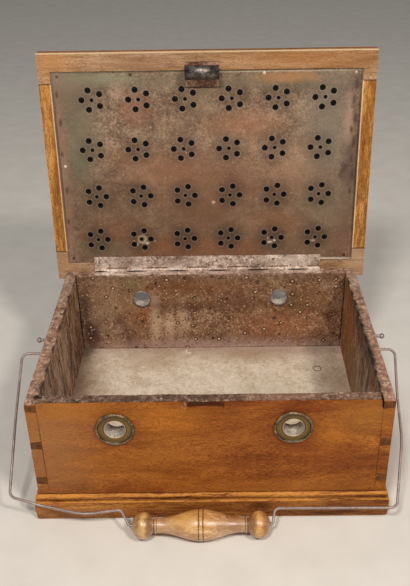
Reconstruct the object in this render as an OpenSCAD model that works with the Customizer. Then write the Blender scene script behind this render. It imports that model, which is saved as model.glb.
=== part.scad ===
// Antique wooden foot warmer: a dovetailed box lined with tinned sheet, with a pierced hinged lid
// and a wire bail with a turned grip. Shown open, with the bail lowered in front.
// The origin is the middle of the underside, X to the right, Y to the back, Z up.

/* [Box] */
// Width over the side boards
body_w = 290; // [270:1:310]
// Depth over the front and back boards
body_d = 214.5; // [200:0.5:230]
// Height of the wooden walls above the table
wall_h = 120.5; // [112:0.5:130]
// Thickness of the side and back boards
board_t = 9; // [8:0.5:10]
// Thickness of the front board
front_t = 10.3; // [9:0.1:11]
// Thickness of the bottom board under the walls
bottom_t = 12; // [10:0.5:14]
// Height of the lined floor above the table
floor_z = 33; // [30:0.5:38]

/* [Dovetails] */
// Height of each pin where it shows on the front face
pin_h = 6.2; // [5:0.1:8]
// Extra height of a pin on its inner side
pin_flare = 2.8; // [1:0.1:3]
// Distance between neighbouring pins
pin_pitch = 37.8; // [34:0.1:38]

/* [Finger notch] */
// Width of the notch in the front board
notch_w = 32; // [24:1:36]
// Middle of the notch, and of the catch above it, from the middle of the box
notch_x = -4.6; // [-8:0.1:8]
// Height of the notch
notch_h = 5.6; // [4:0.1:7]
// Depth of the notch
notch_d = 3; // [2:0.1:4]

/* [Base moulding] */
// Height of the moulding
base_h = 26.6; // [24:0.1:28]
// How far the moulding stands out of the walls
base_out = 3.7; // [3.4:0.1:4.5]
// Radius of the bead along its top
bead_r = 2.8; // [2.5:0.1:3]

/* [Tinned lining] */
// Thickness of the sheet
sheet_t = 0.7; // [0.5:0.1:0.9]
// Width of bare wood in front of the folded front edge
front_bare = 2.6; // [1:0.1:4]
// Width of bare wood in front of the folded side edges
side_bare = 0.6; // [0:0.1:2]

/* [Vents] */
// Radius of the hole through each vent
vent_r = 8.3; // [7:0.1:9]
// Radius of the rosette outside
rosette_r = 15.8; // [14:0.1:17]
// Height of the two front vents
front_vent_z = 96.3; // [90:0.1:99]
// Height of the two rear vents
rear_vent_z = 94.2; // [88:0.1:98]

/* [Lid] */
// Width of the lid
lid_w = 308.6; // [306:0.1:312]
// Thickness of the lid
lid_t = 12; // [11:0.5:14]
// Length of the lid in front of the hinge
lid_reach = 213; // [213:0.1:214]
// Overhang of the lid behind the hinge
lid_back = 8.8; // [8.6:0.1:9.2]
// Width of the rail along the front
front_rail_w = 27.7; // [26:0.1:28]
// Width of the rail along the hinge
back_rail_w = 29.4; // [28:0.1:30]
// Width of each stile
stile_w = 30.8; // [28:0.1:32]
// Angle between the closed lid and the open lid
lid_open = 95.2; // [20:0.1:95.2]

/* [Pierced pattern] */
// Number of flowers in a row
flower_cols = 6; // [3:1:6]
// Distance between flowers in a row
col_pitch = 43.1; // [40:0.1:43.3]
// Radius of the circle through a flower's five holes
flower_r = 9.3; // [8:0.1:10]
// Radius of each of the five holes
petal_r = 2.9; // [2:0.05:3]
// Radius of the hole in a flower's middle
eye_r = 1.9; // [1.2:0.05:2]

/* [Hinge] */
// Left end of the hinge, from the middle of the box
hinge_x = -117; // [-120:0.5:-110]
// Length of a whole knuckle
knuckle_w = 20.35; // [19:0.05:20.5]
// Length of the short knuckle at each end
end_knuckle_w = 12; // [8:0.5:13]
// Thickness of the leaves
leaf_t = 0.8; // [0.6:0.1:0.8]
// Radius of the pin
hinge_pin_r = 0.9; // [0.8:0.05:1]

/* [Catch] */
// Length of the rolled spring
roll_w = 31; // [26:0.5:33]
// Radius of the rolled spring
roll_r = 7.2; // [5:0.1:7.2]
// Distance of the roll from the hinge axis
roll_reach = 196; // [193:0.1:196]

/* [Bail] */
// Radius of the wire
wire_r = 1.15; // [1:0.05:1.3]
// Height of the bail's pivots
pivot_z = 95.5; // [92:0.5:98]
// Angle of the lowered bail below the horizontal
bail_drop = 32.35; // [20:0.05:32.35]
// Reach of the grip's axis from the pivots
grip_reach = 154.4; // [154.4:0.1:156]

/* [Grip] */
// Length of the turned grip
grip_l = 113.8; // [112:0.1:114]
// Radius at the middle
grip_mid_r = 12.8; // [11:0.1:12.8]
// Radius of the two balls
grip_ball_r = 11; // [10:0.1:11.5]
// Radius of the two necks
grip_neck_r = 6.05; // [5.5:0.05:7]

/* [Hidden] */
$fn = 48;

// Overlap that keeps a cut clear of the face it starts from
cut = 1;
// Clearance of a fixed piece in its hole
fit_gap = 0.05;
half_w = body_w / 2;
half_d = body_d / 2;
inner_w = half_w - board_t;
front_in = half_d - front_t;
back_in = half_d - board_t;
rim_z = wall_h + sheet_t;

// Dovetails
pin_count = 3;
top_pin_z = wall_h - pin_h / 2;

// Base moulding, as distances out of the wall and heights
base_foot_r = 2.4;
base_foot_in = 0.5;
base_break_z = 10.5;
base_bead_in = 1;
base_quirk_z = base_h - 2 * bead_r;
base_quirk_in = 2.9;

// Vents: distance from the middle, height, and -1 for front or 1 for rear
tube_t = 0.6;
tube_inside = 2;
lip_r = 0.7;
rosette_bead_r = 1.2;
rosette_floor = 0.6;
rosette_h = 1.8;
front_left_vent = [-75.7, front_vent_z, -1];
front_right_vent = [66, front_vent_z, -1];
rear_left_vent = [-70.3, rear_vent_z, 1];
rear_right_vent = [69, rear_vent_z, 1];
vents = [front_left_vent, front_right_vent, rear_left_vent, rear_right_vent];

// Hinge axis, and the gap that its leaves keep when the lid is shut
axis_back = 0.1;
leaf_gap = 0.05;
axis_y = half_d + axis_back;
axis_z = rim_z + leaf_t + leaf_gap;
knuckle_bore_r = hinge_pin_r + fit_gap;
knuckle_r = knuckle_bore_r + leaf_t;
knuckle_clear_r = knuckle_r + 0.35;
knuckle_gap = 0.3;
knuckle_count = 12;
lid_leaf_w = 14.4;
box_leaf_w = 8.9;
leaf_notch = 3;
leaf_root = knuckle_bore_r + leaf_t / 2;
hinge_end_x = hinge_x + 2 * end_knuckle_w + (knuckle_count - 2) * knuckle_w;
hinge_l = hinge_end_x - hinge_x;
lid_nail_xs = [for (i = [0 : 5]) -105 + 42 * i];
lid_nail_y = -10;
box_nail_xs = [for (i = [0 : 4]) -95.5 + 40.7 * i];
box_nail_y = -5.5;

// Lid, drawn shut with the hinge axis as its origin and the front towards -Y
lid_z = leaf_gap + leaf_t;
lid_half_w = lid_w / 2;
rail_line_front = front_rail_w - lid_reach;
rail_line_back = lid_back - back_rail_w;
plate_t = 0.6;
plate_sunk = 0.6;
plate_left = -142.6;
plate_right = 141.4;
plate_back = -8.6;
plate_front = -196;
plate_gap = 0.4;
plate_z = lid_z + plate_sunk;
panel_z = plate_z + plate_t;
panel_top = lid_z + lid_t - 0.8;
tongue_z = lid_z + 4.2;
tongue_t = 3.6;
tongue_l = 5;
tenon_l = 14;
tenon_w = 18;
joint_gap = 0.1;
// Rows of flowers, front row first: distance from the hinge axis, and sideways shift of the row
flower_rows = [[170.5, 0.7], [123.7, -2], [77.6, -1.7], [32.8, -3.4]];
// The holes drilled in the panel, as a share of the radius of those in the sheet
wood_hole_share = 0.34;
plate_tacks = [
    [-137, -192.3], [135.5, -192.3], [-137, -108], [136, -106], [-137.5, -13.5], [134, -13.5],
    [-70, -193], [52, -193]
];

// Catch on the inside of the lid
catch_back = -181.6;
catch_front = -203.5;
catch_t = 0.5;
catch_room = 0.8;
strip_t = 1;
roll_z = plate_z - catch_t - roll_r;
catch_nail_xs = [notch_x - 12.5, notch_x + 12.5];
catch_nail_y = -187.4;

// Nails and tacks
head_r = 1.5;
head_h = 0.5;
shank_r = 0.6;
shank_l = 6;
rim_tacks = [
    [-140.2, -82], [-140.2, -28], [-140.2, 27], [-140.2, 78],
    [140.2, -84], [140.2, -30], [140.2, 22], [140.2, 76],
    [-104, -101.2], [-38, -101.2], [44, -101.2], [103, -101.2]
];
floor_tacks = [[106.6, 57.7]];

// Bail pivots, and the studs above them
pivot_hole_r = wire_r + 0.06;
pivot_depth = 7;
pivot_wire_end = half_w - 6.5;
plate_w = 11;
strap_t = 1;
strap_low_z = 88;
strap_high_z = 116;
strap_nail_z = 90.6;
stud_z = 110;
stud_neck_r = 1.3;
stud_neck_l = 6.4;
stud_ball_r = 2.4;
stud_shank_r = 1.1;

// Centre line of the bail in its own plane: X, distance from the pivots, and bend radius
grip_mid_x = -8.9;
grip_left_x = grip_mid_x - grip_l / 2;
grip_right_x = grip_mid_x + grip_l / 2;
bail_line = [
    [-pivot_wire_end, 0, 0],
    [-171.8, 0, 6],
    [-171.4, 60, 60],
    [-169.2, 129.5, 7],
    [-143, 137, 40],
    [-106, 145, 45],
    [-75.5, 141.2, 5],
    [grip_left_x - 2.2, grip_reach, 3],
    [grip_right_x + 2.2, grip_reach, 3],
    [52.2, 141.4, 5],
    [153.3, 142.1, 6],
    [164.2, 84, 60],
    [164.6, 45, 60],
    [167.4, 0, 6],
    [pivot_wire_end, 0, 0]
];

// The bent lengths are a little thinner than the rods that they run into
wire_sides = 12;
bent_r = wire_r - 0.02;
bend_step = 13;
rod_overlap = 0.6;
grip_corner = 7;
axle_past_grip = 0.4;

// Turned outline of the grip, as distance from the near end and radius
grip_bore_r = wire_r + 0.06;
ball_half_l = 9.3;
ball_start = 14;
ball_end = 146;
ball_steps = 14;
collar_at = 19;
collar_l = 1.4;
collar_r = grip_neck_r + 0.65;
swell_from = 23;
swell_steps = 16;
mid_groove_at = 2.05;
mid_groove_w = 0.35;
mid_groove_d = 0.5;

oak = "#A5662A";
pale_oak = "#C08A50";
tin = "#9C8473";
dull_brass = "#7C6436";
steel = "#8C8484";
dark_steel = "#2A2320";
turned_wood = "#C8955C";

// Placing

module lid_place() {
    translate([0, axis_y, axis_z]) rotate([-lid_open, 0, 0]) children();
}

module hinge_place() {
    translate([0, axis_y, axis_z]) children();
}

module vent_place(v) {
    translate([v[0], v[2] * half_d, v[1]]) rotate([v[2] * -90, 0, 0]) children();
}

module bail_place() {
    translate([0, 0, pivot_z]) rotate([bail_drop, 0, 0]) children();
}

// side is -1 for left and 1 for right; local +Z leaves the side board
module side_place(side, z) {
    translate([side * half_w, 0, z]) rotate([0, side * 90, 0]) children();
}

// Nails: the head stands on z = 0 and the shank runs down

module domed_nail(r = head_r, h = head_h) {
    dome_r = (r * r + h * h) / (2 * h);
    difference() {
        translate([0, 0, h - dome_r]) sphere(r = dome_r);
        translate([-dome_r, -dome_r, -2 * dome_r]) cube(2 * dome_r);
    }
    translate([0, 0, -shank_l]) cylinder(h = shank_l + h / 2, r = shank_r);
}

module flush_nail() {
    translate([0, 0, -leaf_t]) cylinder(h = leaf_t, r = head_r);
    translate([0, 0, -shank_l]) cylinder(h = shank_l, r = shank_r);
}

module nail_hole() {
    translate([0, 0, -shank_l - cut]) cylinder(h = shank_l + 2 * cut, r = shank_r + fit_gap);
}

module flush_hole() {
    nail_hole();
    translate([0, 0, -leaf_t]) cylinder(h = leaf_t + cut, r = head_r + fit_gap);
}

module at_points(points, z, flip = 0) {
    for (p = points) translate([p[0], p[1], z]) rotate([flip, 0, 0]) children();
}

// Box

module wall_blank(x0, x1, y0, y1) {
    translate([x0, y0, bottom_t]) cube([x1 - x0, y1 - y0, wall_h - bottom_t]);
}

// The pins of both side boards where they pass through a board that ends at y1
module pins(y1, thick) {
    for (side = [-1, 1], i = [0 : pin_count - 1]) {
        top_in = i == 0 ? pin_h / 2 : pin_h / 2 + pin_flare / 2;
        translate([0, y1, top_pin_z - i * pin_pitch]) rotate([90, 0, 0])
            linear_extrude(thick) polygon([
                [side * inner_w, -pin_h / 2 - pin_flare / 2],
                [side * half_w, -pin_h / 2],
                [side * half_w, pin_h / 2],
                [side * inner_w, top_in]
            ]);
    }
}

module front_pins() {
    pins(-front_in, front_t);
}

module back_pins() {
    pins(half_d, board_t);
}

module vent_holes(side) {
    for (v = vents) if (v[2] == side) vent_place(v)
        translate([0, 0, -front_t - sheet_t - cut])
            cylinder(h = front_t + sheet_t + 2 * cut, r = vent_r + tube_t + fit_gap);
}

module barrel_room() {
    hinge_place() translate([hinge_x - knuckle_gap, 0, 0]) rotate([0, 90, 0])
        cylinder(h = hinge_l + 2 * knuckle_gap, r = knuckle_clear_r);
}

module rim_tack_holes() {
    at_points(rim_tacks, rim_z) nail_hole();
}

module front_board() {
    color(oak) difference() {
        wall_blank(-half_w, half_w, -half_d, -front_in);
        front_pins();
        vent_holes(-1);
        translate([notch_x - notch_w / 2, -half_d - cut, wall_h - notch_h])
            cube([notch_w, notch_d + cut, notch_h + cut]);
        rim_tack_holes();
    }
}

module back_board() {
    color(oak) difference() {
        wall_blank(-half_w, half_w, back_in, half_d);
        back_pins();
        vent_holes(1);
        barrel_room();
        hinge_place() at_points([for (x = box_nail_xs) [x, box_nail_y]], -leaf_gap) nail_hole();
    }
}

module side_board(side) {
    x0 = side > 0 ? inner_w : -half_w;
    color(oak) difference() {
        union() {
            wall_blank(x0, x0 + board_t, -front_in, back_in);
            intersection() {
                union() {
                    front_pins();
                    back_pins();
                }
                wall_blank(x0, x0 + board_t, -half_d, half_d);
            }
        }
        side_place(side, pivot_z) translate([0, 0, -pivot_depth])
            cylinder(h = pivot_depth + cut, r = pivot_hole_r);
        side_place(side, stud_z) translate([0, 0, -shank_l - cut])
            cylinder(h = shank_l + 2 * cut, r = stud_shank_r + fit_gap);
        side_place(side, strap_nail_z) translate([0, 0, strap_t]) nail_hole();
        rim_tack_holes();
    }
}

module left_board() { side_board(-1); }
module right_board() { side_board(1); }

module bottom_board() {
    color(oak) translate([-half_w, -half_d, 0]) cube([body_w, body_d, bottom_t]);
}

module raised_floor() {
    color(oak) difference() {
        translate([-inner_w, -front_in, bottom_t])
            cube([2 * inner_w, front_in + back_in, floor_z - sheet_t - bottom_t]);
        at_points(floor_tacks, floor_z) nail_hole();
    }
}

// Outline of the moulding: X out of the wall, Y up
module base_outline() {
    foot_x = base_out - base_foot_in - base_foot_r;
    intersection() {
        square([base_out, base_h]);
        union() {
            translate([foot_x, base_foot_r]) circle(r = base_foot_r);
            translate([base_out - base_bead_in - bead_r, base_h - bead_r]) circle(r = bead_r);
            polygon([
                [0, 0],
                [foot_x, 0],
                [foot_x + base_foot_r, base_foot_r],
                [base_out, base_break_z],
                [base_out, base_quirk_z - 1.6],
                [base_out - 0.8, base_quirk_z - 0.5],
                [base_out - base_quirk_in, base_quirk_z],
                [base_out - base_quirk_in, base_h - bead_r],
                [0, base_h - bead_r]
            ]);
        }
    }
}

// One mitred length of moulding against a wall of the given length
module moulding(length) {
    intersection() {
        translate([-length, 0, 0]) rotate([90, 0, 90]) linear_extrude(2 * length) base_outline();
        linear_extrude(base_h) polygon([
            [-length / 2, 0],
            [length / 2, 0],
            [length / 2 + 2 * base_out, 2 * base_out],
            [-length / 2 - 2 * base_out, 2 * base_out]
        ]);
    }
}

module base_front() { color(oak) translate([0, -half_d, 0]) rotate([0, 0, 180]) moulding(body_w); }
module base_back() { color(oak) translate([0, half_d, 0]) moulding(body_w); }
module base_left() { color(oak) translate([-half_w, 0, 0]) rotate([0, 0, 90]) moulding(body_d); }
module base_right() { color(oak) translate([half_w, 0, 0]) rotate([0, 0, -90]) moulding(body_d); }

// Tinned lining

// A standing sheet from the floor to the folded edge
module standing_sheet(x0, x1, y0, y1) {
    translate([x0, y0, floor_z - sheet_t]) cube([x1 - x0, y1 - y0, rim_z - floor_z + sheet_t]);
}

// The edge of a sheet, folded over the top of the walls
module folded_edge(x0, x1, y0, y1) {
    translate([x0, y0, wall_h]) cube([x1 - x0, y1 - y0, sheet_t]);
}

module liner_floor() {
    color("#C1AA91") difference() {
        translate([-inner_w + sheet_t, -front_in + sheet_t, floor_z - sheet_t])
            cube([2 * (inner_w - sheet_t), front_in + back_in - 2 * sheet_t, sheet_t]);
        at_points(floor_tacks, floor_z) nail_hole();
    }
}

module liner_front() {
    color(tin) difference() {
        union() {
            standing_sheet(-inner_w, inner_w, -front_in, -front_in + sheet_t);
            folded_edge(-inner_w, inner_w, -half_d + front_bare, -front_in + sheet_t);
        }
        vent_holes(-1);
        rim_tack_holes();
    }
}

module liner_back() {
    color(tin) difference() {
        union() {
            standing_sheet(-inner_w, inner_w, back_in - sheet_t, back_in);
            folded_edge(-inner_w, inner_w, back_in - sheet_t, half_d);
        }
        vent_holes(1);
        barrel_room();
        hinge_place() at_points([for (x = box_nail_xs) [x, box_nail_y]], -leaf_gap) nail_hole();
    }
}

// The folded edges at the sides run past the ends of the front and back sheets
module side_liner(side) {
    x0 = side > 0 ? inner_w - sheet_t : -inner_w;
    fold_x0 = side > 0 ? inner_w : -half_w;
    color(tin) difference() {
        union() {
            standing_sheet(x0, x0 + sheet_t, -front_in + sheet_t, back_in - sheet_t);
            folded_edge(fold_x0, fold_x0 + board_t, -half_d + side_bare, half_d);
        }
        rim_tack_holes();
    }
}

module liner_left() { side_liner(-1); }
module liner_right() { side_liner(1); }

module liner_tacks() {
    color(steel) {
        at_points(rim_tacks, rim_z) domed_nail();
        at_points(floor_tacks, floor_z) domed_nail(r = 2.2, h = 0.8);
    }
}

// Vents: a spun rosette outside, and a tube with a rolled lip through the wall

module rosette(v) {
    bead_mid = rosette_r - rosette_bead_r;
    hole_r = vent_r + tube_t + fit_gap;
    color(dull_brass) vent_place(v) rotate_extrude() union() {
        polygon([
            [hole_r, 0],
            [bead_mid, 0],
            [bead_mid, rosette_h],
            [bead_mid - rosette_bead_r, rosette_h - 0.4],
            [hole_r + 1, rosette_floor],
            [hole_r, rosette_floor]
        ]);
        intersection() {
            translate([bead_mid, rosette_bead_r * 0.7]) circle(r = rosette_bead_r, $fn = 24);
            translate([bead_mid - 2 * rosette_bead_r, 0]) square(4 * rosette_bead_r);
        }
    }
}

module vent_tube(v) {
    tube_r = vent_r + tube_t;
    back_z = -(v[2] > 0 ? board_t : front_t) - sheet_t - tube_inside;
    lip_z = rosette_floor + fit_gap + lip_r;
    color(tin) vent_place(v) rotate_extrude() {
        translate([vent_r, back_z]) square([tube_t, lip_z - back_z]);
        translate([vent_r + lip_r, lip_z]) circle(r = lip_r, $fn = 16);
    }
}

module front_left_rosette() { rosette(front_left_vent); }
module front_right_rosette() { rosette(front_right_vent); }
module rear_left_rosette() { rosette(rear_left_vent); }
module rear_right_rosette() { rosette(rear_right_vent); }
module front_left_tube() { vent_tube(front_left_vent); }
module front_right_tube() { vent_tube(front_right_vent); }
module rear_left_tube() { vent_tube(rear_left_vent); }
module rear_right_tube() { vent_tube(rear_right_vent); }

// Hinge, drawn shut around its own axis

function knuckle_start(i) = hinge_x + (i == 0 ? 0 : end_knuckle_w + (i - 1) * knuckle_w);
function knuckle_len(i) = i == 0 || i == knuckle_count - 1 ? end_knuckle_w : knuckle_w;

// own is 0 for the knuckles of the lid's leaf and 1 for those of the box's leaf; up is 1 or -1
module hinge_leaf(own, up, width, bore_r) {
    low_z = up > 0 ? leaf_gap : -leaf_gap - leaf_t;
    difference() {
        union() {
            translate([hinge_x, -width, low_z]) cube([hinge_l, width - leaf_root, leaf_t]);
            for (i = [own : 2 : knuckle_count - 1])
                translate([knuckle_start(i) + knuckle_gap / 2, 0, 0]) rotate([0, 90, 0])
                    cylinder(h = knuckle_len(i) - knuckle_gap, r = knuckle_r);
        }
        for (i = [1 - own : 2 : knuckle_count - 1])
            translate([knuckle_start(i) - knuckle_gap / 2, -leaf_notch, -2 * knuckle_r])
                cube([knuckle_len(i) + knuckle_gap, 2 * leaf_notch, 4 * knuckle_r]);
        translate([hinge_x - cut, 0, 0]) rotate([0, 90, 0]) cylinder(h = hinge_l + 2 * cut, r = bore_r);
    }
}

module hinge_box_leaf() {
    color(steel) hinge_place() difference() {
        hinge_leaf(1, -1, box_leaf_w, knuckle_bore_r);
        at_points([for (x = box_nail_xs) [x, box_nail_y]], -leaf_gap) flush_hole();
    }
}

module hinge_box_nails() {
    color(steel) hinge_place() at_points([for (x = box_nail_xs) [x, box_nail_y]], -leaf_gap) flush_nail();
}

module hinge_pin() {
    color(steel) hinge_place() translate([hinge_x, 0, 0]) rotate([0, 90, 0])
        cylinder(h = hinge_l, r = hinge_pin_r);
}

// The lid's leaf grips the pin, so its knuckles turn with it
module hinge_lid_leaf() {
    color(steel) lid_place() difference() {
        hinge_leaf(0, 1, lid_leaf_w, hinge_pin_r);
        at_points([for (x = lid_nail_xs) [x, lid_nail_y]], leaf_gap, 180) flush_hole();
    }
}

module hinge_lid_nails() {
    color(steel) lid_place()
        at_points([for (x = lid_nail_xs) [x, lid_nail_y]], leaf_gap, 180) flush_nail();
}

// Lid

module lid_bar(x0, x1, y0, y1) {
    translate([x0, y0, lid_z]) cube([x1 - x0, y1 - y0, lid_t]);
}

module plate_seat() {
    translate([plate_left - plate_gap, plate_front - plate_gap, lid_z - cut])
        cube([plate_right - plate_left + 2 * plate_gap, plate_back - plate_front + 2 * plate_gap,
            panel_z - lid_z + cut]);
}

// The catch is let into the front rail
module catch_seat() {
    translate([notch_x - roll_w / 2 - catch_room, -roll_reach - roll_r - catch_room, lid_z - cut])
        cube([roll_w + 2 * catch_room, roll_r + catch_room + roll_reach + plate_front,
            plate_z - lid_z + cut]);
}

module lid_barrel_room() {
    translate([hinge_x - knuckle_gap, 0, 0]) rotate([0, 90, 0])
        cylinder(h = hinge_l + 2 * knuckle_gap, r = knuckle_clear_r);
}

module lid_nail_holes() {
    at_points(plate_tacks, plate_z, 180) nail_hole();
    at_points([for (x = lid_nail_xs) [x, lid_nail_y]], leaf_gap, 180) nail_hole();
    at_points([for (x = catch_nail_xs) [x, catch_nail_y]], plate_z - catch_t, 180) nail_hole();
}

module tenons(grow = 0) {
    for (side = [-1, 1])
        translate([side * (lid_half_w - stile_w / 2) - tenon_w / 2 - grow,
            rail_line_front - tenon_l - grow, tongue_z - grow])
            cube([tenon_w + 2 * grow, rail_line_back - rail_line_front + 2 * (tenon_l + grow),
                tongue_t + 2 * grow]);
}

// The panel's tongue, and with grow the groove around it
module tongue(grow = 0) {
    x = lid_half_w - stile_w + tongue_l + 5 * grow;
    y0 = rail_line_front - tongue_l - 5 * grow;
    y1 = rail_line_back + tongue_l + 5 * grow;
    translate([-x, y0, tongue_z - grow]) cube([2 * x, y1 - y0, tongue_t + 2 * grow]);
}

module lid_rail(y0, y1) {
    difference() {
        lid_bar(-lid_half_w, lid_half_w, y0, y1);
        plate_seat();
        lid_barrel_room();
        tenons(joint_gap);
        tongue(joint_gap);
        catch_seat();
        lid_nail_holes();
    }
}

module lid_front_rail() { color(pale_oak) lid_place() lid_rail(-lid_reach, rail_line_front); }
module lid_back_rail() { color(pale_oak) lid_place() lid_rail(rail_line_back, lid_back); }

module lid_stile(side) {
    x0 = side > 0 ? lid_half_w - stile_w : -lid_half_w;
    color(pale_oak) lid_place() difference() {
        union() {
            difference() {
                lid_bar(x0, x0 + stile_w, rail_line_front, rail_line_back);
                plate_seat();
                tongue(joint_gap);
            }
            intersection() {
                tenons();
                lid_bar(x0, x0 + stile_w, -lid_reach, rail_line_front);
            }
            intersection() {
                tenons();
                lid_bar(x0, x0 + stile_w, rail_line_back, lid_back);
            }
        }
        lid_nail_holes();
    }
}

module lid_left_stile() { lid_stile(-1); }
module lid_right_stile() { lid_stile(1); }

// One flower: five holes around a small one. The two front rows point one way, the others the other way
module flowers(share = 1) {
    for (row = [0 : len(flower_rows) - 1], col = [0 : flower_cols - 1])
        translate([
            flower_rows[row][1] + (col - (flower_cols - 1) / 2) * col_pitch,
            -flower_rows[row][0],
            -cut
        ])
            rotate([0, 0, row < 2 ? 180 : 0]) {
                cylinder(h = 2 * lid_t, r = share * eye_r, $fn = 24);
                for (i = [0 : 4]) rotate([0, 0, 72 * i]) translate([flower_r, 0, 0])
                    cylinder(h = 2 * lid_t, r = share * petal_r, $fn = 24);
            }
}

module lid_panel() {
    x = lid_half_w - stile_w - joint_gap;
    y0 = rail_line_front + joint_gap;
    y1 = rail_line_back - joint_gap;
    color(pale_oak) lid_place() difference() {
        union() {
            translate([-x, y0, panel_z]) cube([2 * x, y1 - y0, panel_top - panel_z]);
            tongue();
        }
        flowers(wood_hole_share);
        lid_nail_holes();
    }
}

module lid_plate() {
    color("#8B7159") lid_place() difference() {
        translate([plate_left, plate_front, plate_z])
            cube([plate_right - plate_left, plate_back - plate_front, plate_t]);
        flowers();
        lid_nail_holes();
    }
}

module lid_plate_tacks() {
    color(steel) lid_place() at_points(plate_tacks, plate_z, 180) domed_nail();
}

// Catch: a strip of spring steel rolled up on a small plate, which rubs on the lining when the lid shuts

module catch_plate() {
    color("#9A806B") lid_place() difference() {
        translate([notch_x - roll_w / 2 + 0.5, catch_front, plate_z - catch_t])
            cube([roll_w - 1, catch_back - catch_front, catch_t]);
        lid_nail_holes();
    }
}

module catch_roll() {
    color(dark_steel) lid_place() translate([notch_x - roll_w / 2, -roll_reach, roll_z])
        rotate([90, 0, 90]) linear_extrude(roll_w) difference() {
            circle(r = roll_r);
            circle(r = roll_r - strip_t);
            rotate(-70) translate([0, -strip_t / 2]) square([2 * roll_r, strip_t]);
        }
}

module catch_nails() {
    color(steel) lid_place()
        at_points([for (x = catch_nail_xs) [x, catch_nail_y]], plate_z - catch_t, 180)
            domed_nail(r = 1.2, h = 0.4);
}

// Pivots of the bail

module pivot_plate(side) {
    mid_z = (strap_low_z + strap_high_z) / 2;
    reach = (strap_high_z - strap_low_z - plate_w) / 2;
    color(steel) difference() {
        side_place(side, mid_z) {
            translate([-reach, -plate_w / 2, 0]) cube([2 * reach, plate_w, strap_t]);
            for (end = [-1, 1]) translate([end * reach, 0, 0]) cylinder(h = strap_t, d = plate_w);
        }
        side_place(side, pivot_z) translate([0, 0, -cut])
            cylinder(h = strap_t + 2 * cut, r = pivot_hole_r);
        side_place(side, stud_z) translate([0, 0, -cut])
            cylinder(h = strap_t + 2 * cut, r = stud_shank_r + fit_gap);
        side_place(side, strap_nail_z) translate([0, 0, strap_t]) nail_hole();
    }
}

module pivot_plate_left() { pivot_plate(-1); }
module pivot_plate_right() { pivot_plate(1); }

module pivot_plate_nails() {
    color(steel) for (side = [-1, 1])
        side_place(side, strap_nail_z) translate([0, 0, strap_t]) domed_nail(r = 1.3);
}

module side_stud(side) {
    color(steel) side_place(side, stud_z) {
        translate([0, 0, -shank_l]) cylinder(h = shank_l + strap_t + stud_neck_l, r = stud_shank_r);
        translate([0, 0, strap_t]) cylinder(h = stud_neck_l, r = stud_neck_r);
        translate([0, 0, strap_t + stud_neck_l + 0.8 * stud_ball_r]) sphere(r = stud_ball_r);
    }
}

module side_stud_left() { side_stud(-1); }
module side_stud_right() { side_stud(1); }

// Bail: true round rods in the pivots and through the grip, joined by bent lengths in one plane

function xy(i) = [bail_line[i][0], -bail_line[i][1]];
function heading(i) = let (d = xy(i + 1) - xy(i)) atan2(d[1], d[0]);
function turn(i) = let (t = heading(i) - heading(i - 1)) t > 180 ? t - 360 : t < -180 ? t + 360 : t;
function arc_steps(i) = max(1, ceil(abs(turn(i)) / bend_step));
function pivot_run(i) = abs(xy(i)[0]) - pivot_wire_end - bail_line[i][2] * tan(abs(turn(i)) / 2);
function along(h, d) = [d * cos(h), d * sin(h)];
function arc_start(i) = xy(i) - along(heading(i - 1), bail_line[i][2] * tan(abs(turn(i)) / 2));
// A point of a bend and the heading there, k steps from its start
function arc_at(i, k) = let (
    to_side = turn(i) > 0 ? 90 : -90,
    h = heading(i - 1) + turn(i) * k / arc_steps(i),
    middle = arc_start(i) + along(heading(i - 1) + to_side, bail_line[i][2])
) [middle - along(h + to_side, bail_line[i][2]), h];
// Stations of a bent length that takes in the bends from first to last
function stations(first, last) =
    let (
        bends = [for (i = [first : last], k = [0 : arc_steps(i)]) arc_at(i, k)],
        head = bends[0],
        tail = bends[len(bends) - 1]
    ) concat(
        [[head[0] - along(head[1], rod_overlap), head[1]]],
        bends,
        [[tail[0] + along(tail[1], rod_overlap), tail[1]]]
    );

module bent_length(first, last) {
    line = stations(first, last);
    n = wire_sides;
    m = len(line);
    points = [for (s = line, j = [0 : n - 1]) let (a = 360 * (j + 0.5) / n) [
        s[0][0] - sin(s[1]) * bent_r * cos(a),
        s[0][1] + cos(s[1]) * bent_r * cos(a),
        bent_r * sin(a)
    ]];
    faces = concat(
        [[for (j = [0 : n - 1]) j]],
        [[for (j = [0 : n - 1]) m * n - 1 - j]],
        [for (i = [0 : m - 2], j = [0 : n - 1])
            [i * n + j, i * n + n + j, i * n + n + (j + 1) % n, i * n + (j + 1) % n]]
    );
    polyhedron(points = points, faces = faces);
}

module rod(from, to, reach) {
    translate([from, -reach, 0]) rotate([0, 90, 0]) cylinder(h = to - from, r = wire_r);
}

module bail_wire() {
    last = len(bail_line) - 1;
    color(steel) bail_place() {
        rod(-pivot_wire_end - pivot_run(1), -pivot_wire_end, 0);
        rod(grip_left_x - axle_past_grip, grip_right_x + axle_past_grip, grip_reach);
        rod(pivot_wire_end, pivot_wire_end + pivot_run(last - 1), 0);
        bent_length(1, grip_corner);
        bent_length(grip_corner + 1, last - 1);
    }
}

// Turned grip

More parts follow.
